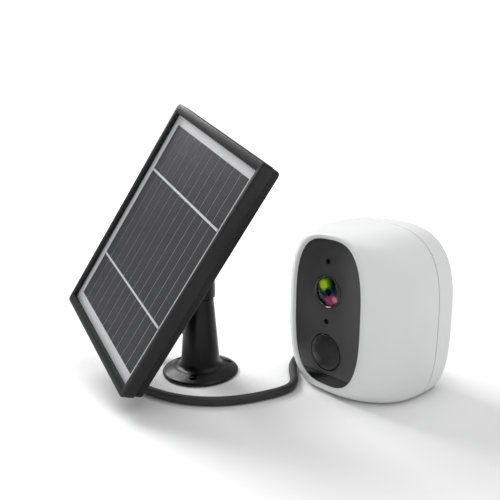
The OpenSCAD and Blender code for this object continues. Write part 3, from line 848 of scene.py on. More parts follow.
def rounded_profile(points: Sequence[tuple[float, float, float]], steps: int = 5) -> list[
    tuple[float, float]
]:
    """Round the corners of a turned profile.

    Args:
        points: Corners as radius, height and corner radius; the radius is 0 for a sharp corner.
        steps: Segments of each rounding.

    Returns:
        The profile's points.
    """
    made: list[tuple[float, float]] = []
    for i, (r, z, bend) in enumerate(points):
        here = Vector((r, z))
        if bend <= 0 or i in (0, len(points) - 1):
            made.append((r, z))
            continue
        before = Vector(points[i - 1][:2]) - here
        after = Vector(points[i + 1][:2]) - here
        angle = before.angle(after)
        reach = min(bend / math.tan(angle / 2), before.length * 0.48, after.length * 0.48)
        start, end = here + before.normalized() * reach, here + after.normalized() * reach
        for k in range(steps + 1):
            t = k / steps
            spot = start.lerp(here, t).lerp(here.lerp(end, t), t)
            made.append((spot.x, spot.y))
    return made


def rod(
    radius: float, low: float, high: float, chamfer: float = 0.0, steps: int = 64
) -> bmesh.types.BMesh:
    """Round rod along Z with chamfered ends.

    Args:
        radius: Radius of the rod.
        low: Height of its lower end.
        high: Height of its upper end.
        chamfer: Size of the chamfer at both ends.
        steps: Segments around.

    Returns:
        A closed mesh.
    """
    profile = [
        (0, low), (radius - chamfer, low), (radius, low + chamfer), (radius, high - chamfer),
        (radius - chamfer, high), (0, high),
    ]
    return revolve(profile, steps)


def place(bm: bmesh.types.BMesh, matrix: Matrix) -> bmesh.types.BMesh:
    """Move a mesh in millimetres and hand it back."""
    bmesh.ops.transform(bm, matrix=matrix, verts=bm.verts)
    return bm


def join(*parts: bmesh.types.BMesh) -> bmesh.types.BMesh:
    """Gather several closed meshes into one.

    Args:
        *parts: Meshes to gather; all but the first are freed.

    Returns:
        The first mesh with the others added.
    """
    whole = parts[0]
    for part in parts[1:]:
        spare = bpy.data.meshes.new("spare")
        part.to_mesh(spare)
        part.free()
        whole.from_mesh(spare)
        bpy.data.meshes.remove(spare)
    return whole


def mark_sharp(bm: bmesh.types.BMesh, angle: float) -> None:
    """Shade faces smooth and keep edges sharper than an angle.

    Args:
        bm: The mesh.
        angle: Angle in degrees.
    """
    for face in bm.faces:
        face.smooth = True
    limit = math.radians(angle)
    for edge in bm.edges:
        edge.smooth = len(edge.link_faces) == 2 and edge.calc_face_angle(0.0) < limit


def to_object(bm: bmesh.types.BMesh, name: str, scaled: bool = True) -> bpy.types.Object:
    """Make an object of a mesh in millimetres.

    Args:
        bm: The mesh, which is freed.
        name: Name of the object.
        scaled: Whether the mesh is turned from millimetres to metres.

    Returns:
        The new object, linked to the scene.
    """
    bmesh.ops.remove_doubles(bm, verts=bm.verts, dist=1e-5)
    bmesh.ops.recalc_face_normals(bm, faces=bm.faces)
    if scaled:
        bmesh.ops.transform(bm, matrix=TO_METRES, verts=bm.verts)
    mesh = bpy.data.meshes.new(name)
    bm.to_mesh(mesh)
    bm.free()
    made = bpy.data.objects.new(name, mesh)
    bpy.context.scene.collection.objects.link(made)
    return made


def apply_modifiers(obj: bpy.types.Object) -> None:
    """Bake an object's modifiers into its mesh."""
    bpy.context.view_layer.update()
    graph = bpy.context.evaluated_depsgraph_get()
    baked = bpy.data.meshes.new_from_object(obj.evaluated_get(graph))
    old = obj.data
    obj.modifiers.clear()
    obj.data = baked
    bpy.data.meshes.remove(old)


def carve(
    obj: bpy.types.Object, cutters: Sequence[bmesh.types.BMesh], operation: str = "DIFFERENCE"
) -> bpy.types.Object:
    """Cut closed meshes out of an object, or add them to it.

    Args:
        obj: Object to change.
        cutters: Meshes in millimetres, which are used up.
        operation: DIFFERENCE, UNION or INTERSECT.

    Returns:
        The same object.
    """
    tools = [to_object(cutter, f"cutter_{i}") for i, cutter in enumerate(cutters)]
    for tool in tools:
        step = obj.modifiers.new("carve", "BOOLEAN")
        step.operation = operation
        step.solver = "EXACT"
        step.object = tool
    apply_modifiers(obj)
    for tool in tools:
        spare = tool.data
        bpy.data.objects.remove(tool)
        bpy.data.meshes.remove(spare)
    return obj


def soften(
    obj: bpy.types.Object, width: float, angle: float = 35.0, segments: int = 2
) -> bpy.types.Object:
    """Round an object's hard edges.

    Args:
        obj: Object to change.
        width: Width of the rounding in millimetres.
        angle: Edges sharper than this, in degrees, are rounded.
        segments: Segments of the rounding.

    Returns:
        The same object.
    """
    bm = bmesh.new()
    bm.from_mesh(obj.data)
    bmesh.ops.dissolve_limit(bm, angle_limit=math.radians(1.0), verts=bm.verts, edges=bm.edges)
    sharp = [
        e
        for e in bm.edges
        if len(e.link_faces) == 2 and e.calc_face_angle(0.0) > math.radians(angle)
    ]
    bmesh.ops.bevel(
        bm,
        geom=sharp,
        offset=width * MM,
        offset_type="OFFSET",
        affect="EDGES",
        segments=segments,
        profile=0.5,
        clamp_overlap=True,
        material=-1,
    )
    bm.to_mesh(obj.data)
    bm.free()
    return obj


@dataclass
class Maker:
    """Finishes pieces: shading, material, body, and the CAD nodes that they stand for."""

    count: int = 0

    def finish(
        self,
        obj: bpy.types.Object,
        finish: Finish,
        body: Body,
        slot: str,
        nodes: Sequence[str] = (),
        angle: float = 32.0,
    ) -> bpy.types.Object:
        """Dress a piece and tie it to the frame.

        Args:
            obj: The piece, in place.
            finish: Its surface finish.
            body: Body that it rides on.
            slot: Not used.
            nodes: CAD nodes that it stands for.
            angle: Edges sharper than this, in degrees, stay crisp.

        Returns:
            The same piece.
        """
        if obj.type == "MESH":
            bm = bmesh.new()
            bm.from_mesh(obj.data)
            bmesh.ops.remove_doubles(bm, verts=bm.verts, dist=1e-7)
            mark_sharp(bm, angle)
            bm.to_mesh(obj.data)
            bm.free()
        obj.data.materials.clear()
        obj.data.materials.append(finish.build())
        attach(obj, body.value)
        if nodes:
            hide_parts(*nodes)
        self.count += 1
        LOG.info("%s rides on %s", obj.name, body.value)
        return obj

    def dress_node(self, node: str, finish: Finish) -> None:
        """Give a carried-over CAD node its finish."""
        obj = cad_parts[node]
        obj.data.materials.clear()
        obj.data.materials.append(finish.build())


MAKER = Maker()


# ------------------------------------------------------------ Lead


@dataclass
class Lead:
    """Charging lead from the stand's bush to the plug, laid by hand on the floor."""

    diameter: float = 5.0
    route: tuple[tuple[float, float, float], ...] = (
        (-92.5, -64.6, 25), (-97, -64.8, 24.4), (-102, -66.2, 21.9), (-106.4, -69, 17.7),
        (-109.8, -73.2, 12.6), (-112, -78.8, 7.8), (-112.4, -85, 4.3), (-110.8, -91.4, 2.7),
        (-106.8, -97, 2.5), (-101, -101.6, 2.5), (-94, -104.6, 2.5), (-86.4, -106.2, 2.5),
        (-78, -106.6, 2.5), (-69, -106, 2.5), (-59, -103.8, 2.5), (-49, -100, 2.5),
        (-40, -94.6, 2.5), (-32, -87.4, 2.5), (-25.5, -78.8, 2.5), (-20.6, -69, 2.5),
        (-17.4, -59.4, 2.5), (-15.4, -50.8, 2.5), (-15.6, -43.2, 2.5), (-18.8, -36.6, 2.5),
        (-24.6, -30.6, 2.5), (-31.2, -24.6, 2.5), (-37.3, -17.4, 2.5), (-41.8, -9, 2.5),
        (-45.1, 1, 2.5), (-47.8, 12.4, 2.5), (-49.6, 24, 2.5), (-50.4, 34, 2.5), (-50.4, 44, 2.5),
        (-49.2, 54, 2.8), (-45.6, 63, 3.8), (-39.4, 69.6, 5.8), (-31.2, 72.4, 8.6), (-23, 71, 11.8),
        (-16.6, 67, 14.8), (-13, 62.8, 16.6), (-12, 59, 17),
    )
    usb_x: float = -12.0
    port_z: float = 17.0
    plug_y: float = 29.2
    plug_length: float = 17.0
    boot_length: float = 12.8
    end_handle: float = 1.6

    def plug_matrix(self, out: float = 0.0) -> Matrix:
        """Frame on the plug's axis: +Z leaves the camera's back, a distance behind its seat."""
        return rear_matrix(self.usb_x, self.plug_y + out, self.port_z)

    def centreline(self) -> bpy.types.Object:
        """Round lead as a curve of one open spline."""
        data = bpy.data.curves.new("lead", "CURVE")
        data.dimensions = "3D"
        data.bevel_depth = self.diameter / 2 * MM
        data.bevel_resolution = 6
        data.resolution_u = 8
        data.use_fill_caps = True
        spline = data.splines.new("BEZIER")
        spline.bezier_points.add(len(self.route) - 1)
        for knot, spot in zip(spline.bezier_points, self.route):
            knot.co = Vector(spot) * MM
            knot.handle_left_type = knot.handle_right_type = "AUTO"
        ends = (spline.bezier_points[0], Vector((-1, 0, 0))), (
            spline.bezier_points[-1], Vector((0, -1, 0))
        )
        for knot, way in ends:
            knot.handle_left_type = knot.handle_right_type = "FREE"
            knot.handle_left = knot.co - way * self.end_handle * MM
            knot.handle_right = knot.co + way * self.end_handle * MM
        made = bpy.data.objects.new("solar_lead", data)
        bpy.context.scene.collection.objects.link(made)
        return made

    def length(self) -> float:
        """Length of the route in metres."""
        spots = [Vector(p) for p in self.route]
        return sum((b - a).length for a, b in zip(spots, spots[1:])) * MM

    def boot(self) -> bpy.types.Object:
        """Ribbed strain relief that tapers from the plug onto the lead."""
        thin, thick = self.diameter / 2 + 0.4, 3.5
        ribs = 6
        profile: list[tuple[float, float]] = [(0, 0)]
        pitch = self.boot_length / ribs
        for i in range(ribs):
            outer = thick + (thin - thick) * i / (ribs - 1)
            z = i * pitch
            profile += [
                (outer - 0.2, z + 0.05), (outer, z + 0.3), (outer, z + pitch - 0.75),
                (outer - 0.2, z + pitch - 0.5), (outer - 0.75, z + pitch - 0.45),
                (outer - 0.75, z + pitch - 0.02),
            ]
        profile.append((0, self.boot_length))
        bm = revolve(profile, 48)
        return to_object(place(bm, self.plug_matrix(self.plug_length)), "plug_relief")

    def body(self) -> bpy.types.Object:
        """Moulded plug body with a soft waist and grip ridges."""
        rings = soft_block(10.6, 7.6, 2.6, 0, self.plug_length, 0.5, 1.2)
        made = to_object(place(loft(rings), self.plug_matrix()), "plug_grip")
        cutters = []
        turn = Matrix.Rotation(math.radians(90), 4, "X")
        for side in (-1, 1):
            for k in range(5):
                groove = rod(0.45, -2.6, 2.6, 0.1, 16)
                spot = Matrix.Translation((side * 5.4, 0, 4.5 + 2.0 * k))
                cutters.append(place(groove, self.plug_matrix() @ spot @ turn))
        return carve(made, cutters)

    def tip(self) -> bpy.types.Object:
        """Pressed steel shell of the plug, open at its end."""
        walls = [rounded_rect(6.9, 1.9, 0.8, z) for z in (0, 5.6)]
        walls += [rounded_rect(6.3, 1.3, 0.5, z) for z in (5.6, 0.6)]
        spot = facing_matrix(self.usb_x, self.plug_y, self.port_z)
        return to_object(place(loft(walls), spot), "plug_shell")

    def build(self) -> None:
        lead = MAKER.finish(
            self.centreline(), LEAD_RUBBER, Body.BASE, "black_rubber", ["solar_cord"]
        )
        boot = MAKER.finish(self.boot(), BLACK_RUBBER, Body.BASE, "black_rubber", ["plug_boot"])
        body = MAKER.finish(self.body(), BLACK_RUBBER, Body.BASE, "black_matte", ["plug_body"])
        tip = MAKER.finish(self.tip(), NICKEL_PLATE, Body.BASE, "steel", ["plug_tip"])


# ------------------------------------------------------------ Housing


@dataclass
class Housing:
    """White two-part housing, drawn in millimetres as rings at depths behind the front rim."""

    width: float = 90.0
    height: float = 95.0
    depth: float = 64.0
    rim_y: float = -32.0
    belly_depth: float = 50.0
    belly_z: float = 41.0
    seam_depth: float = 40.0
    seam_gap: float = 0.6
    wall: float = 2.2
    foot_lift: float = 0.4
    foot_blend: float = 1.4
    rim_power: float = 3.7
    dome_power: float = 3.05
    belly_shape: float = 3.1
    rim_shape: float = 3.0
    plate_width: float = 45.4
    plate_height: float = 83.0
    plate_z: float = 47.5
    rim_edge: float = 2.6
    plate_gap: float = 0.15
    ledge: float = 2.35
    ledge_depth: float = 2.8
    inner_depth: float = 5.8
    port_y: float = 28.995
    port_block: float = 3.4
    port_z: float = 17.0
    port_middle_z: float = 18.25
    usb_x: float = -12.0
    card_x: float = 3.0
    button_x: float = 15.0
    hinge_z: float = 23.7
    tripod_z: float = 52.0
    insert_y: float = 31.564
    foot_y: float = -7.5

    def rim_share(self, d: float) -> float:
        """How much of the front rim's shape a ring at this depth has."""
        return (
            (self.belly_depth - d) / self.belly_depth
        ) ** self.rim_power if d < self.belly_depth else 0.0

    def ring(self, d: float, off: float = 0.0, scale: float = 1.0) -> Ring:
        """Ring of the housing at a depth.

        Args:
            d: Depth behind the front rim.
            off: How far the ring is drawn inwards.
            scale: How far the ring has drawn in towards the back's middle.

        Returns:
            The ring's points.
        """
        f = self.rim_share(d)
        power = self.belly_shape + f * (self.rim_shape - self.belly_shape)
        rim_w, rim_h = self.plate_width + 2 * self.rim_edge, self.plate_height + 2 * self.rim_edge
        belly_low = 2 * self.belly_z - self.height
        half = self.width / 2 - f * (self.width - rim_w) / 2 - off
        middle = self.belly_z + f * (self.plate_z - self.belly_z)
        top = self.height + f * (self.plate_z + rim_h / 2 - self.height) - off
        low = belly_low + f * (self.plate_z - rim_h / 2 - belly_low) + off
        ring = []
        for i in range(RUNS):
            angle = math.tau * i / RUNS
            x, z = unit_superellipse(angle, power)
            rise = (top - middle) if z > 0 else (middle - low)
            ring.append(
                Vector(
                    (half * scale * x, self.rim_y + d, self.lift(middle + rise * scale * z, off))
                )
            )
        return ring

    def lift(self, z: float, off: float) -> float:
        """Height with a softly rounded flat underside instead of a deeper belly."""
        floor = self.foot_lift + off
        return (z + floor + math.hypot(z - floor, self.foot_blend)) / 2

    def plate_ring(self, d: float, grow: float) -> Ring:
        """Ring around the face plate, grown by an amount, at a depth."""
        ring = []
        for i in range(RUNS):
            x, z = unit_superellipse(math.tau * i / RUNS, self.rim_shape)
            ring.append(
                Vector(
                    (
                        (self.plate_width / 2 + grow) * x,
                        self.rim_y + d,
                        self.plate_z + (self.plate_height / 2 + grow) * z,
                    )
                )
            )
        return ring

    def dome(self, off: float, steps: int) -> list[Ring]:
        """Rings of the back, from the belly to just short of the pole."""
        rings = []
        reach = self.depth - self.belly_depth - off
        for i in range(steps):
            share, along = unit_superellipse(math.pi / 2 * i / steps, self.dome_power)
            rings.append(self.ring(self.belly_depth + reach * along, off, share))
        return rings

    def seam_lip(self, edge: float, side: int) -> list[Ring]:
        """Rounded lip of a shell at the seam; the side is -1 for the front shell, 1 for the cap."""
        return [
            self.ring(edge + side * d, off)
            for d, off in ((0, 0.5), (0, 0.28), (0.08, 0.1), (0.28, 0.0))
        ]

    def front_rings(self) -> list[Ring]:
        """Rings of the front shell, from the seam over the rim and back inside."""
        edge = self.seam_depth - self.seam_gap / 2
        rings = self.seam_lip(edge, -1)
        shoulder, straight, steps, crowding = 1.5, 0.9, 30, 1.35
        span = edge - straight - shoulder
        rings += [
            self.ring(shoulder + span * (1 - i / steps) ** crowding) for i in range(steps + 1)
        ]
        start, corner, end = self.ring(shoulder), self.ring(0.0), self.plate_ring(0.0, 1.1)
        for k in range(1, 8):
            t = k / 7
            rings.append(
                [a.lerp(b, t).lerp(b.lerp(c, t), t) for a, b, c in zip(start, corner, end)]
            )
        mouth = [
            (0.0, 0.62), (0.06, 0.36), (0.2, 0.2), (0.4, self.plate_gap),
            (self.ledge_depth, self.plate_gap), (self.ledge_depth, -self.ledge),
            (self.inner_depth, -self.ledge),
        ]
        rings += [self.plate_ring(d, grow) for d, grow in mouth]
        inner = edge - self.inner_depth
        rings += [
            self.ring(self.inner_depth + inner * s, self.wall) for s in (0.0, 0.12, 0.3, 0.6, 1.0)
        ]
        return rings

    def front_shell(self) -> bpy.types.Object:
        """Front shell with its face opening and the sound holes in its lower edge."""
        shell = to_object(loft(self.front_rings(), wrap=True), "housing_front")
        cutters = []
        for x in range(5, 16, 2):
            way = Matrix.Translation((x, self.rim_y + 0.6, 0.9)) @ Matrix.Rotation(
                math.radians(-70), 4, "X"
            )
            cutters.append(place(rod(0.6, 0, 9, 0.0, 20), way))
        return carve(shell, cutters)

    def rear_shell(self) -> bpy.types.Object:
        """Rear cap with the port recess and the seat of the tripod insert."""
        edge = self.seam_depth + self.seam_gap / 2
        outer = self.seam_lip(edge, 1)
        outer += [self.ring(edge + 1.0), self.ring(43.5), self.ring(46.5)] + self.dome(0.0, 34)
        inner = [self.ring(edge, self.wall), self.ring(45.0, self.wall)] + self.dome(self.wall, 12)
        shell = to_object(loft(list(reversed(inner)) + outer, poles=(True, True)), "housing_rear")
        block = soft_block(43, 16.5, 3.5, -self.port_block, 0.6, 0.3, 0.1)
        boss = rod(7.3, -10.5, -1.0, 0.2)
        port = rear_matrix(0, self.port_y, self.port_middle_z)
        tripod = rear_matrix(0, self.insert_y, self.tripod_z)
        carve(shell, [place(loft(block), port), place(boss, tripod)], "UNION")
        recess = loft([rounded_rect(40, 13.5, 3, 0), rounded_rect(40, 13.5, 3, 6)])
        usb = loft(
            [
                rounded_rect(9.4, 4.4, 1.9, 0.4),
                rounded_rect(8.2, 3.2, 1.3, -0.4),
                rounded_rect(8.2, 3.2, 1.3, -6),
            ]
        )
        card = loft(
            [
                rounded_rect(12.6, 2.6, 0.6, 0.4),
                rounded_rect(11.6, 1.6, 0.3, -0.3),
                rounded_rect(11.6, 1.6, 0.3, -6),
            ]
        )
        seat = revolve([(0, -12), (4.8, -12), (4.8, -0.2), (5.6, 0.6), (5.6, 3), (0, 3)], 64)
        cutters = [place(recess, port)]
        cutters += [
            place(hole, rear_matrix(x, self.port_y, self.port_z))
            for hole, x in (
                (usb, self.usb_x), (card, self.card_x), (rod(2.2, -6, 1), self.button_x)
            )
        ]
        return carve(shell, cutters + [place(seat, tripod)])

    def seam(self) -> bpy.types.Object:
        """Silicone seal between the two shells, a little below their skin."""
        front, back = self.seam_depth - self.seam_gap / 2, self.seam_depth + self.seam_gap / 2
        sunk = 0.62
        corners = ((back, sunk), (front, sunk), (front, self.wall), (back, self.wall))
        return to_object(loft([self.ring(d, off) for d, off in corners], wrap=True), "seam_seal")

    def foot(self) -> bpy.types.Object:
        """Round silicone pad under the housing."""
        profile = rounded_profile(
            [
                (0, 1.4, 0), (15, 1.4, 0), (15, 0, 0.5), (11.5, 0, 0.2), (11.3, 0.3, 0.1),
                (10.6, 0.3, 0.1), (10.4, 0, 0.2), (0, 0, 0),
            ]
        )
        return to_object(
            place(revolve(profile), Matrix.Translation((0, self.foot_y, 0))), "housing_foot"
        )

    def tripod_insert(self) -> bpy.types.Object:
        """Turned brass insert with the grooves of a 1/4 inch thread."""
        pitch, root, crest = 1.27, 3.175, 2.55
        profile: list[tuple[float, float]] = [
            (0, -9), (4.8, -9), (4.8, -0.3), (4.5, 0), (3.6, 0), (root, -0.4)
        ]
        turns = 6
        for i in range(turns):
            z = -0.55 - pitch * i
            profile += [
                (crest, z - pitch * 0.42), (crest, z - pitch * 0.55), (root, z - pitch * 0.97)
            ]
        profile += [(crest, -8.4), (0, -8.4)]
        spot = rear_matrix(0, self.insert_y, self.tripod_z)
        return to_object(place(revolve(profile, 64), spot), "tripod_nut")

    def flap(self) -> bpy.types.Object:
        """Silicone port flap, hanging open on its pin, with a finger lip."""
        rings = soft_block(30, 11, 2, -0.7, 0.7, 0.25, 0.35)
        sheet = place(loft(rings), Matrix.Translation((0, 35.5, self.hinge_z)))
        lip = place(
            loft(soft_block(12, 1.6, 0.7, 0, 1.5, 0.2, 0.5)), Matrix.Translation((0, 40.1, 24.2))
        )
        axis = Matrix.Translation((0, self.port_y + 1, self.hinge_z))
        pin = place(rod(0.9, -15, 15, 0.15, 32), axis @ Matrix.Rotation(math.radians(90), 4, "Y"))
        made = to_object(sheet, "port_cover")
        return carve(made, [lip, pin], "UNION")

    def button(self) -> bpy.types.Object:
        """Round silicone button with a dished top."""
        profile = rounded_profile(
            [(0, -2.7, 0), (2.1, -2.7, 0), (2.1, 1.2, 0.5), (1.2, 1.2, 0.6), (0, 0.9, 0)]
        )
        spot = rear_matrix(self.button_x, self.port_y, self.port_z)
        return to_object(place(revolve(profile, 48), spot), "reset_button")

    def build(self) -> None:
        """Build the housing's pieces."""
        MAKER.finish(self.front_shell(), WHITE_ABS, Body.BASE, "white_abs", ["front_shell"])
        MAKER.finish(self.rear_shell(), WHITE_ABS, Body.BASE, "white_abs", ["rear_cap"])
        MAKER.finish(self.seam(), SEAM_SILICONE, Body.BASE, "grey_gasket", ["seam_gasket"])
        MAKER.finish(self.foot(), GREY_SILICONE, Body.BASE, "grey_rubber", ["foot_pad"])
        MAKER.finish(
            self.tripod_insert(), TURNED_BRASS, Body.BASE, "brass_insert", ["tripod_insert"]
        )
        MAKER.finish(self.flap(), GREY_SILICONE, Body.FLAP, "grey_rubber", ["port_flap"])
        MAKER.finish(self.button(), GREY_SILICONE, Body.BUTTON, "grey_rubber", ["power_button"])


# ------------------------------------------------------------ Face


@dataclass
class Face:
    """Smoked face plate with the microphone, lens, status light and motion sensor."""

    housing: Housing
    front_y: float = -31.6
    ledge_y: float = -29.2
    band_top: float = 12.5
    mic_z: float = 76.95
    lens_z: float = 59.95
    light_z: float = 43.075
    sensor_z: float = 25.1
    pin_hole: float = 1.6
    ring_radius: float = 9.4
    glass_radius: float = 7.8
    element_radius: float = 6.6
    sensor_radius: float = 10.5
    saw_gap: float = 0.03

    def slab(self, keep_above: bool, name: str) -> bpy.types.Object:
        """One side of the plate's outline, cut where the infrared window starts.

        Args:
            keep_above: Whether the part above the cut is kept.
            name: Name of the piece.

        Returns:
            The piece with softly rounded edges.
        """
        outline = [Vector((p.x, p.z, 0)) for p in self.housing.plate_ring(0, 0.0)]
        bm = bmesh.new()
        made = bmesh.ops.create_circle(bm, segments=len(outline), radius=1.0, cap_ends=True)
        for vert, spot in zip(made["verts"], outline):
            vert.co = spot
        side = self.saw_gap if keep_above else -self.saw_gap
        bmesh.ops.bisect_plane(
            bm,
            geom=bm.verts[:] + bm.edges[:] + bm.faces[:],
            plane_co=(0, self.band_top + side, 0),
            plane_no=(0, -1 if keep_above else 1, 0),
            clear_outer=True,
        )
        grown = bmesh.ops.extrude_face_region(bm, geom=bm.faces[:])
        top = [v for v in grown["geom"] if isinstance(v, bmesh.types.BMVert)]
        thickness = self.ledge_y - self.front_y
        bmesh.ops.translate(bm, verts=top, vec=(0, 0, thickness))
        rim = [e for e in bm.edges if all(v.co.z > thickness - 1e-3 for v in e.verts)]
        bmesh.ops.bevel(
            bm,
            geom=rim,
            offset=0.3,
            offset_type="OFFSET",
            affect="EDGES",
            segments=3,
            profile=0.5,
            clamp_overlap=True,
            material=-1,
        )
        return to_object(place(bm, facing_matrix(0, self.ledge_y, 0)), name)

    def countersunk(self, radius: float, flare: float) -> bmesh.types.BMesh:
        """Cutter of a hole with a softened mouth, its axis through the front face."""
        mouth = radius + flare
        return revolve(
            [(0, -4), (radius, -4), (radius, -flare), (mouth, 0.02), (mouth, 2), (0, 2)], 64
        )

    def plate(self) -> bpy.types.Object:
        """Charcoal plate with its four holes."""
        holes = [
            (self.mic_z, self.pin_hole, 0.08), (self.light_z, self.pin_hole, 0.08),
            (self.lens_z, self.ring_radius + 0.1, 0.15),
            (self.sensor_z, self.sensor_radius + 0.1, 0.2),
        ]
        cutters = [
            place(self.countersunk(r, flare), facing_matrix(0, self.front_y, z))
            for z, r, flare in holes
        ]
        return carve(self.slab(True, "smoked_plate"), cutters)

    def lens_matrix(self) -> Matrix:
        """Frame on the lens axis, at the ledge behind the plate."""
        return facing_matrix(0, self.ledge_y, self.lens_z)

    def domed_disc(
        self, name: str, radius: float, low: float, base: float, rise: float, steps: int
    ) -> bpy.types.Object:
        """Round glass on the lens axis with a flat back and a domed front.

        Args:
            name: Name of the piece.
            radius: Radius of the glass.
            low: Height of its back over the ledge.
            base: Height where its dome starts.
            rise: Height of the dome.
            steps: Segments from the dome's edge to its middle.

        Returns:
            The glass, in place.
        """
        turns = [math.pi / 2 * i / steps for i in range(1, steps)]
        profile = [(0, low), (radius, low), (radius, base)]
        profile += [(radius * math.cos(a), base + rise * math.sin(a)) for a in turns]
        profile.append((0, base + rise))
        return to_object(place(revolve(profile, 96), self.lens_matrix()), name)

    def lens_ring(self) -> bpy.types.Object:
        """Turned surround of the lens, with a bright thin lip."""
        r, t = self.ring_radius, self.ledge_y - self.front_y
        profile = rounded_profile(
            [
                (r - 2.4, 0, 0), (r, 0, 0), (r, t + 0.3, 0.25), (r - 0.75, t + 0.3, 0.25),
                (r - 1.35, t - 0.5, 0.3), (r - 1.5, 0.6, 0.1), (r - 2.4, 0.6, 0.1), (r - 2.4, 0, 0),
            ]
        )
        return to_object(place(revolve(profile[:-1], 128), self.lens_matrix()), "lens_bezel")

    def lens_glass(self) -> bpy.types.Object:
        """Slightly domed cover glass."""
        return self.domed_disc("lens_cover", self.glass_radius, 0.62, 1.35, 0.55, 10)

    def element(self) -> bpy.types.Object:
        """Coated front element, a steep dome behind the cover glass."""
        return self.domed_disc("lens_element", self.element_radius, -4.4, -3.2, 2.4, 16)

    def sensor(self) -> bpy.types.Object:
        """Motion sensor's dome: a cap of flat lenslets with softened edges, on a moulded flange."""
        r, front, sag = self.sensor_radius, self.ledge_y - self.front_y, 2.4
        ball = (r * r + sag * sag) / (2 * sag)
        rings = []
        sides = 12
        turns = [math.tau * (k + 0.5) / sides for k in range(sides)]
        for radius in (3.4, 6.9, r):
            z = front + math.sqrt(ball * ball - radius * radius) - ball + sag
            rings.append([Vector((radius * math.cos(a), radius * math.sin(a), z)) for a in turns])
        low = [Vector((v.x, v.y, 0.0)) for v in rings[-1]]
        bm = loft([low] + list(reversed(rings)))
        limit, rim = math.radians(3), front - 0.2
        edges = [
            e
            for e in bm.edges
            if e.calc_face_angle(0.0) > limit and max(v.co.z for v in e.verts) > rim
        ]
        bmesh.ops.bevel(
            bm,
            geom=edges,
            offset=0.55,
            offset_type="OFFSET",
            affect="EDGES",
            segments=4,
            profile=0.5,
            clamp_overlap=True,
            material=-1,
        )
        dome = to_object(place(bm, facing_matrix(0, self.ledge_y, self.sensor_z)), "sensor_dome")
        flange = place(
            rod(r + 1.2, -1, 0, 0.1), facing_matrix(0, self.ledge_y - 0.05, self.sensor_z)
        )
        return carve(dome, [flange], "UNION")

    def build(self) -> None:
        """Build the face's pieces."""
        # Both lens glasses carry painted reflections of the coating in their base colour.
        coating = CoatedOptic(
            "lens_glass_painted_reflections",
            "#06080c",
            0.08,
            grain_depth_mm=0.0,
            roughness_spread=0.02,
            centre=(0.0, self.ledge_y, self.lens_z),
            radius_mm=self.element_radius,
            settings={"IOR": 1.7, "Coat Weight": 1.0, "Coat Roughness": 0.02},
        )
        MAKER.finish(self.plate(), SMOKED_ACRYLIC, Body.BASE, "smoked_plate", ["face_plate"])
        MAKER.finish(
            self.slab(False, "infrared_window"),
            INFRARED_WINDOW,
            Body.BASE,
            "dark_window",
            ["ir_window"],
        )
        MAKER.finish(self.lens_ring(), LENS_SURROUND, Body.BASE, "dark_gloss", ["lens_ring"])
        cover = CoatedOptic(
            "cover_glass_painted_reflections",
            "#06080c",
            0.06,
            grain_depth_mm=0.0,
            roughness_spread=0.02,
            centre=(0.0, self.ledge_y, self.lens_z),
            radius_mm=self.glass_radius,
            settings={"IOR": 1.52, "Alpha": 0.72},
        )
        MAKER.finish(self.lens_glass(), cover, Body.BASE, "clear_glass", ["lens_window"])
        MAKER.finish(self.element(), coating, Body.BASE, "clear_glass", ["front_element"])
        MAKER.finish(
            self.sensor(), SENSOR_POLYETHYLENE, Body.BASE, "black_dome", ["pir_dome"], angle=40
        )


# ------------------------------------------------------------ Panel


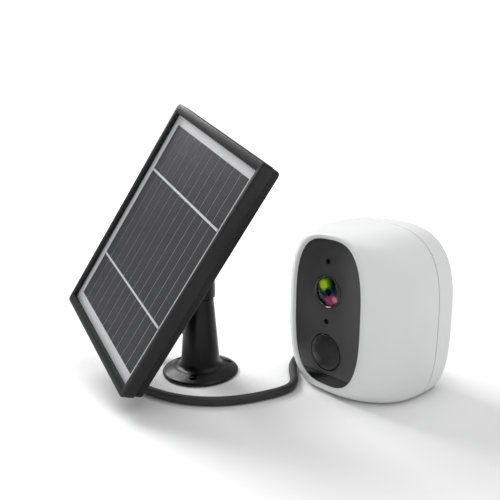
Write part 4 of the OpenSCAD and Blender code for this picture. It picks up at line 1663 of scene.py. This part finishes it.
@dataclass
class SolarPanel:
    """Solar panel, drawn in its own frame: +Z from the tilt pivot towards its front."""

    width: float = 94.5
    height: float = 141.0
    front: float = 34.9
    parting: float = 27.0
    back: float = 21.7
    corner: float = 2.2
    side: float = 3.3
    end: float = 5.5
    lip: float = 33.2
    screw_x: float = 41.95
    screw_y: float = 63.0

    def screw_places(self) -> list[Matrix]:
        """Frames of the four screws on the back tray."""
        return [
            panel_matrix() @ Matrix.Translation((x * self.screw_x, y * self.screw_y, self.back))
            for x in (-1, 1)
            for y in (-1, 1)
        ]

    def bezel(self) -> bpy.types.Object:
        """Front frame with rounded outer edges and a bevelled window."""
        w, h = self.width, self.height
        win_w, win_h = w - 2 * self.side, h - 2 * self.end
        rings = [rounded_rect(w - 0.5, h - 0.5, self.corner - 0.25, self.parting + 0.35)]
        rings += soft_block(w, h, self.corner, self.parting + 0.35, self.front, 0.25, 0.7)[1:]
        rings += [
            rounded_rect(win_w + 1.1, win_h + 1.1, 1.0, self.front),
            rounded_rect(win_w + 0.7, win_h + 0.7, 0.8, self.front - 0.1),
            rounded_rect(win_w, win_h, 0.6, self.front - 0.9),
            rounded_rect(win_w, win_h, 0.6, self.lip),
            rounded_rect(w - 4.1, h - 8.6, 0.6, self.lip),
            rounded_rect(w - 4.1, h - 8.6, 0.6, self.parting + 0.35),
        ]
        return to_object(place(loft(rings, wrap=True), panel_matrix()), "panel_frame")

    def tray(self) -> bpy.types.Object:
        """Back tray with its screw wells and a shallow raised field."""
        w, h = self.width - 1.2, self.height - 1.2
        rings = soft_block(w, h, self.corner, self.back, self.parting + 0.3, 0.9, 0.15)
        made = to_object(place(loft(rings), panel_matrix()), "panel_tray")
        well = [(0, -3), (2.9, -3), (2.9, 0), (2.6, 0.3), (2.6, 2.2), (0, 2.2)]
        cutters = [place(revolve(well, 48), spot) for spot in self.screw_places()]
        low, high = self.back - 1, self.back + 0.5
        groove = loft(
            [
                rounded_rect(w - 15, h - 22, 3, low),
                rounded_rect(w - 15, h - 22, 3, high),
                rounded_rect(w - 16.6, h - 23.6, 2.4, high),
                rounded_rect(w - 16.6, h - 23.6, 2.4, low),
            ],
            wrap=True,
        )
        return carve(made, cutters + [place(groove, panel_matrix())])

    def screws(self) -> bpy.types.Object:
        """Four pan-head screws with cross recesses, in the tray's wells."""
        head = rounded_profile([(0, 1.9, 0), (2.4, 1.9, 0), (2.4, 0.35, 0.5), (0, 0.15, 0)])
        parts = [place(revolve(head, 40), spot) for spot in self.screw_places()]
        made = to_object(join(*parts), "tray_screws")
        cutters = []
        for spot in self.screw_places():
            for turn in (12, 102):
                bar = loft(soft_block(2.6, 0.5, 0.2, -1, 1.0, 0.02, 0.02))
                cutters.append(place(bar, spot @ Matrix.Rotation(math.radians(turn), 4, "Z")))
        return carve(made, cutters)

    def boss(self) -> bpy.types.Object:
        """Round turning plate on the back, with its stud."""
        r, top = 15, self.back + 0.2
        profile = rounded_profile(
            [
                (0, 10, 0), (4, 10, 0.4), (4, 19.2, 0.6), (r - 0.6, 19.2, 0.5), (r, 19.8, 0.4),
                (r, top, 0), (0, top, 0),
            ]
        )
        return to_object(place(revolve(profile), panel_matrix()), "turning_boss")

    def build(self) -> None:
        """Build the panel's pieces and dress the cells."""
        MAKER.finish(self.bezel(), FRAME_ABS, Body.PANEL, "black_satin", ["panel_bezel"])
        MAKER.finish(self.tray(), STAND_NYLON, Body.PANEL, "black_satin", ["panel_back"])
        MAKER.finish(self.screws(), BLACK_OXIDE, Body.PANEL, "dark_steel", ["panel_screws"])
        MAKER.finish(self.boss(), STAND_NYLON, Body.PANEL, "black_matte", ["turning_plate"])
        for node, finish in (
            ("panel_glass", PANEL_GLASS),
            ("white_backsheet", BACKSHEET),
            ("cell_strips", CELL_SILICON),
            ("bus_ribbons", TINNED_RIBBON),
            ("charge_board", CIRCUIT_BOARD),
        ):
            MAKER.dress_node(node, finish)


# ------------------------------------------------------------ Stand


@dataclass
class StandParts:
    """Column on a round foot, and the joint that carries the panel."""

    foot_radius: float = 23.25
    low_radius: float = 11.7
    top_radius: float = 8.6
    top_z: float = 48.0
    deck_z: float = 4.6
    fillet: float = 4.5
    outlet_z: float = 25.0
    fork_radius: float = 9.6
    ear_in: float = 4.8
    ear_out: float = 9.3
    ear_radius: float = 7.5
    hole_reach: float = 18.2
    hole_angle: float = 70.0
    sole_radius: float = 20.8
    bolt_radius: float = 2.0
    bolt_play: float = 0.05
    nut_radius: float = 4.04
    nut_play: float = 0.12
    nut_in: float = 6.1
    screw_bore: float = 4.05
    fork_low: float = 48.3
    fork_deck: float = 52.6

    def hole_places(self) -> list[Matrix]:
        """Frames of the three screw holes of the foot."""
        return [
            stand_matrix() @ Matrix.Rotation(
                math.radians(self.hole_angle + 120 * i), 4, "Z"
            ) @ Matrix.Translation((self.hole_reach, 0, 0))
            for i in range(3)
        ]

    def outlet_matrix(self) -> Matrix:
        """Frame of the lead's outlet: +Z leaves the column along -X."""
        return stand_matrix(self.outlet_z) @ Matrix.Rotation(math.radians(-90), 4, "Y")

    def column(self) -> bpy.types.Object:
        """Column, flared into its foot, with three screw holes and the outlet of the lead."""
        low, bend, deck, edge = self.low_radius, self.fillet, self.deck_z, self.foot_radius
        turns = [math.radians(180 + 90 * i / 8) for i in range(9)]
        sweep = [(low + bend * (1 + math.cos(a)), deck + bend * (1 + math.sin(a))) for a in turns]
        inside = [
            (0, deck + 4), (4, deck + 4), (4, self.top_z - 0.5), (4.4, self.top_z),
            (self.top_radius - 0.6, self.top_z), (self.top_radius, self.top_z - 0.6),
        ]
        rim = rounded_profile(
            [
                (17.0, 4.31, 0), (22.4, 2.3, 1.2), (edge, 1.6, 0.5), (edge, 0.6, 0.3),
                (self.sole_radius + 0.1, 0.6, 0), (self.sole_radius + 0.1, 1.0, 0), (0, 1.0, 0),
            ]
        )
        profile = inside + sweep + rim
        made = to_object(place(revolve(profile, 128), stand_matrix()), "stand_post")
        cutters = []
        for spot in self.hole_places():
            hole = revolve([(0, -1), (2.1, -1), (2.1, 3.0), (2.7, 3.6), (2.7, 9), (0, 9)], 40)
            cutters.append(place(hole, spot))
        outlet = place(rod(4, 0, 24), self.outlet_matrix())
        return carve(made, cutters + [outlet])

    def pad(self) -> bpy.types.Object:
        """Rubber ring under the foot."""
        r = self.sole_radius
        profile = rounded_profile([(0, 1, 0), (r, 1, 0), (r, 0, 0.3), (0, 0, 0)])
        made = to_object(place(revolve(profile), stand_matrix()), "stand_sole")
        return carve(made, [place(rod(2.6, -1, 3), spot) for spot in self.hole_places()])

    def bush(self) -> bpy.types.Object:
        """Rubber bush of the lead with a flange and three rings on its taper."""
        face, tip = 10.41, 20.9
        profile = [
            (0, 5), (3.9, 5), (3.9, face + 0.5), (5.2, face + 0.5), (5.5, face + 0.8),
            (5.5, face + 1.6), (5.2, face + 1.9), (4.2, face + 1.95),
        ]
        rings, start = 4, face + 2.2
        pitch = (tip - start) / rings
        for i in range(rings):
            r = 4.0 - 0.9 * (i + 0.5) / rings
            z = start + i * pitch
            profile += [
                (r, z + 0.1), (r, z + pitch * 0.62), (r - 0.55, z + pitch * 0.72),
                (r - 0.55, z + pitch),
            ]
        profile += [(0, tip)]
        return to_object(place(revolve(profile, 64), self.outlet_matrix()), "lead_bush")

    def fork(self) -> bpy.types.Object:
        """Swivel fork: a round base with two rounded ears."""
        r, low, deck, top = self.fork_radius, self.fork_low, self.fork_deck, 54
        base = rounded_profile(
            [(0, low, 0), (r, low, 0.5), (r, deck, 0), (r, top, 0.3), (0, top, 0)]
        )
        made = to_object(place(revolve(base), stand_matrix()), "swivel_yoke")
        thick = self.ear_out - self.ear_in
        ears = []
        for side in (-1, 1):
            aside = Matrix.Translation((side * (self.ear_in + self.ear_out) / 2, 0, 0))
            turn = Matrix.Rotation(math.radians(90), 4, "Y")
            disc = rod(self.ear_radius, -thick / 2, thick / 2, 0.5)
            web = loft(soft_block(thick, 13.8, 0.5, deck - 0.1, Stand.pivot_z, 0.1, 0.1))
            ears += [
                place(disc, stand_matrix(Stand.pivot_z) @ aside @ turn),
                place(web, stand_matrix() @ aside),
            ]
        carve(made, ears, "UNION")
        carve(made, [place(rod(r, 40, 90, 0.0, 96), stand_matrix())], "INTERSECT")
        screw_well = place(rod(5.5, 52, 60), stand_matrix())
        bore = place(rod(self.bolt_radius + self.bolt_play, -12, 12), clamp_matrix(1))
        seat = rod(self.nut_radius + self.nut_play, self.nut_in, 10.5, 0.0, 6)
        hole = place(rod(self.screw_bore, 46, 60), stand_matrix())
        return carve(made, [screw_well, bore, place(seat, clamp_matrix(1)), hole])

    def knuckle(self) -> bpy.types.Object:
        """Knuckle that tilts between the ears and holds the panel's stud."""
        turn = Matrix.Rotation(math.radians(90), 4, "Y")
        neck = rounded_profile(
            [(0, 0, 0), (4, 0, 0), (4, 6.5, 0), (8, 8.2, 0.8), (8, 18.9, 0.4), (0, 18.9, 0)]
        )
        made = to_object(place(revolve(neck), tilt_matrix()), "tilt_head")
        barrel = place(rod(7, -4.5, 4.5, 0.4), tilt_matrix() @ turn)
        web = place(loft(soft_block(9, 13, 0.4, -0.1, 9.5, 0.05, 0.05)), tilt_matrix())
        carve(made, [barrel, web], "UNION")
        bore = rod(self.bolt_radius + self.bolt_play, -8, 8)
        return carve(
            made,
            [
                place(bore, tilt_matrix() @ turn),
                place(rod(self.screw_bore, 9.7, 20), tilt_matrix()),
            ],
        )

    def knob(self) -> bpy.types.Object:
        """Clamp knob with eight scallops and a dished cap."""
        turn, scallops = clamp_matrix(-1), 8
        low, r = self.ear_out + 0.3, 8
        top = low + 8
        profile = rounded_profile(
            [
                (0, low, 0), (r - 0.6, low, 0.3), (r, low + 0.8, 0.4), (r, low + 7.2, 0),
                (r - 0.8, top, 0.7), (4.6, top, 0.3), (4.2, low + 7.5, 0.2), (0, low + 7.5, 0),
            ]
        )
        made = to_object(place(revolve(profile), turn), "clamp_knob")
        cutters = []
        for i in range(scallops):
            spin = Matrix.Rotation(
                math.tau * i / scallops, 4, "Z"
            ) @ Matrix.Translation((0, r + 0.6, 0))
            cutters.append(place(rod(1.7, low + 2, low + 9, 0.0, 32), turn @ spin))
        cutters.append(place(rod(self.bolt_radius + 0.02, low - 1, low + 6), turn))
        return carve(made, cutters)

    def bolt(self) -> bpy.types.Object:
        """Clamp bolt with the grooves of its thread near the nut."""
        r, root, pitch, end, head = self.bolt_radius, 1.75, 0.7, -8.9, 15.6
        profile: list[tuple[float, float]] = [(0, end), (r - 0.4, end), (r, end + 0.4)]
        for i in range(5):
            z = end + 0.5 + pitch * i
            profile += [(r, z + 0.1), (root, z + 0.35), (r, z + 0.6)]
        profile += [(r, head), (0, head)]
        return to_object(place(revolve(profile, 48), clamp_matrix(-1)), "clamp_bolt")

    def nut(self) -> bpy.types.Object:
        """Hexagon nut with chamfered corners."""
        turn = clamp_matrix(-1)
        body = rod(self.nut_radius, -self.ear_out, -self.nut_in, 0.0, 6)
        made = to_object(place(body, turn), "clamp_nut")
        carve(made, [place(rod(self.bolt_radius + self.bolt_play, -12, 0), turn)])
        return soften(made, 0.25, 25)

    def pivot_screw(self) -> bpy.types.Object:
        """Hollow screw that holds the fork on the column."""
        profile = rounded_profile(
            [
                (2, 38, 0), (3.95, 38, 0.4), (3.95, 52, 0), (5, 52, 0.2), (5, 53.8, 0.6),
                (2, 53.8, 0.3), (2, 38, 0),
            ]
        )
        made = to_object(place(revolve(profile[:-1]), stand_matrix()), "pivot_screw")
        slit = loft(soft_block(11, 1.2, 0.3, 53, 55, 0.05, 0.05))
        return carve(made, [place(slit, stand_matrix())])

    def build(self) -> None:
        """Build the stand's pieces."""
        MAKER.finish(self.column(), STAND_NYLON, Body.BASE, "black_satin", ["stand_column"])
        MAKER.finish(self.pad(), BLACK_RUBBER, Body.BASE, "black_rubber", ["stand_pad"])
        MAKER.finish(self.bush(), BLACK_RUBBER, Body.BASE, "black_rubber", ["cord_grommet"])
        MAKER.finish(self.pivot_screw(), BLACK_OXIDE, Body.BASE, "dark_steel", ["pan_screw"])
        MAKER.finish(self.fork(), STAND_NYLON, Body.SWIVEL, "black_satin", ["swivel_fork"])
        MAKER.finish(self.nut(), BLACK_OXIDE, Body.SWIVEL, "dark_steel", ["tilt_nut"])
        MAKER.finish(self.knuckle(), STAND_NYLON, Body.KNUCKLE, "black_satin", ["tilt_knuckle"])
        MAKER.finish(self.knob(), STAND_NYLON, Body.TILT_SCREW, "black_satin", ["tilt_knob"])
        MAKER.finish(self.bolt(), BLACK_OXIDE, Body.TILT_SCREW, "dark_steel", ["tilt_bolt"])


# ------------------------------------------------------------ Inside


@dataclass
class Internals:
    """Boards, cells and sockets inside the housing, carried over as they are."""

    finishes: dict[str, Finish] = field(
        default_factory=lambda: {
            "lens_barrel": BLACK_BARREL_AND_HOLE_SHADE,
            "lens_holder": INNER_ABS,
            "image_sensor_board": CIRCUIT_BOARD,
            "ir_lamp_board": CIRCUIT_BOARD,
            "pir_sensor": NICKEL_PLATE,
            # Painted shade: the status light is near-black so that its pin hole reads dark.
            "status_light": LIGHT_PIPE_HOLE_SHADE,
            # Painted shade: the microphone takes the near-black barrel finish so that its pin hole
            # reads dark.
            "microphone": BLACK_BARREL_AND_HOLE_SHADE,
            "chassis_plate": INNER_ABS,
            "chassis_screws": BLACK_OXIDE,
            "main_board": CIRCUIT_BOARD,
            "battery_cells": CELL_WRAP,
            "battery_cradle": INNER_ABS,
            "speaker": INNER_ABS,
            "wireless_antenna": CIRCUIT_BOARD,
            "port_board": CIRCUIT_BOARD,
            "usb_socket": NICKEL_PLATE,
            "card_socket": NICKEL_PLATE,
            "memory_card": INNER_ABS,
        }
    )

    def build(self) -> None:
        """Dress every inner node."""
        for node, finish in self.finishes.items():
            MAKER.dress_node(node, finish)


# ------------------------------------------------------------ Studio


@dataclass(frozen=True)
class Softbox:
    """Square light that faces the device, its place and side in metres and its power in watts."""

    name: str
    spot: tuple[float, float, float]
    size: float
    power: float


@dataclass
class Studio:
    """Camera, pale floor and soft lights.

    The backdrop behind the floor is white, and lights the device less than it shows.
    """

    eye: tuple[float, float, float] = (189.8, -258.8, 145.6)
    pitch: float = 78.0
    heading: float = 48.0
    lens: float = 40.32
    sensor: float = 36.0
    backdrop: float = 1.05
    ambient: float = 0.42
    floor_reach: float = 3.0
    aim: tuple[float, float, float] = (-0.02, -0.02, 0.05)
    softboxes: tuple[Softbox, ...] = (
        Softbox("key", (-1.15, -0.1, 1.0), 0.7, 18.0), Softbox("top", (0.25, 0.1, 1.7), 1.3, 11.0)
    )

    def camera(self) -> None:
        """Camera at the height and heading from which the device is seen."""
        data = bpy.data.cameras.new("view")
        data.lens = self.lens
        data.sensor_width = self.sensor
        data.clip_start = 0.01
        data.clip_end = 20
        made = bpy.data.objects.new("view", data)
        made.location = Vector(self.eye) * MM
        made.rotation_euler = (math.radians(self.pitch), 0, math.radians(self.heading))
        bpy.context.scene.collection.objects.link(made)
        bpy.context.scene.camera = made

    def floor(self) -> None:
        """Wide sheet of white paper."""
        bm = bmesh.new()
        bmesh.ops.create_grid(bm, x_segments=4, y_segments=4, size=self.floor_reach)
        made = to_object(bm, "studio_floor", scaled=False)
        made.data.materials.append(STUDIO_PAPER.build())

    def lamp(self, box: Softbox) -> None:
        """Place one softbox, aimed at the device.

        Args:
            box: The light to place.
        """
        data = bpy.data.lights.new(box.name, "AREA")
        data.size = box.size
        data.energy = box.power
        made = bpy.data.objects.new(box.name, data)
        made.location = box.spot
        way = Vector(self.aim) - Vector(box.spot)
        made.rotation_euler = way.to_track_quat("-Z", "Y").to_euler()
        bpy.context.scene.collection.objects.link(made)

    def world(self) -> None:
        """Even white surroundings, brighter to the eye than to the device."""
        world = bpy.data.worlds.new("studio")
        world.use_nodes = True
        tree = world.node_tree
        tree.nodes.clear()
        seen = add_node(tree, "ShaderNodeLightPath").outputs["Is Camera Ray"]
        level = add_node(
            tree,
            "ShaderNodeMapRange",
            {"Value": seen, "To Min": self.ambient, "To Max": self.backdrop},
        ).outputs["Result"]
        glow = add_node(tree, "ShaderNodeBackground", {"Color": (1, 1, 1, 1), "Strength": level})
        add_node(tree, "ShaderNodeOutputWorld", {"Surface": glow.outputs["Background"]})
        bpy.context.scene.world = world

    def build(self) -> None:
        """Set up the studio."""
        self.floor()
        self.world()
        bpy.context.scene.view_settings.view_transform = "Standard"
        for box in self.softboxes:
            self.lamp(box)


def main() -> None:
    """Build the device and its studio."""
    logging.basicConfig(level=logging.INFO, format="%(message)s")
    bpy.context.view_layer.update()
    studio = Studio()
    studio.camera()
    Lead().build()
    housing = Housing()
    housing.build()
    Face(housing).build()
    SolarPanel().build()
    StandParts().build()
    Internals().build()
    studio.build()
    LOG.info("%d pieces made", MAKER.count)


if __name__ == "__main__":
    main()
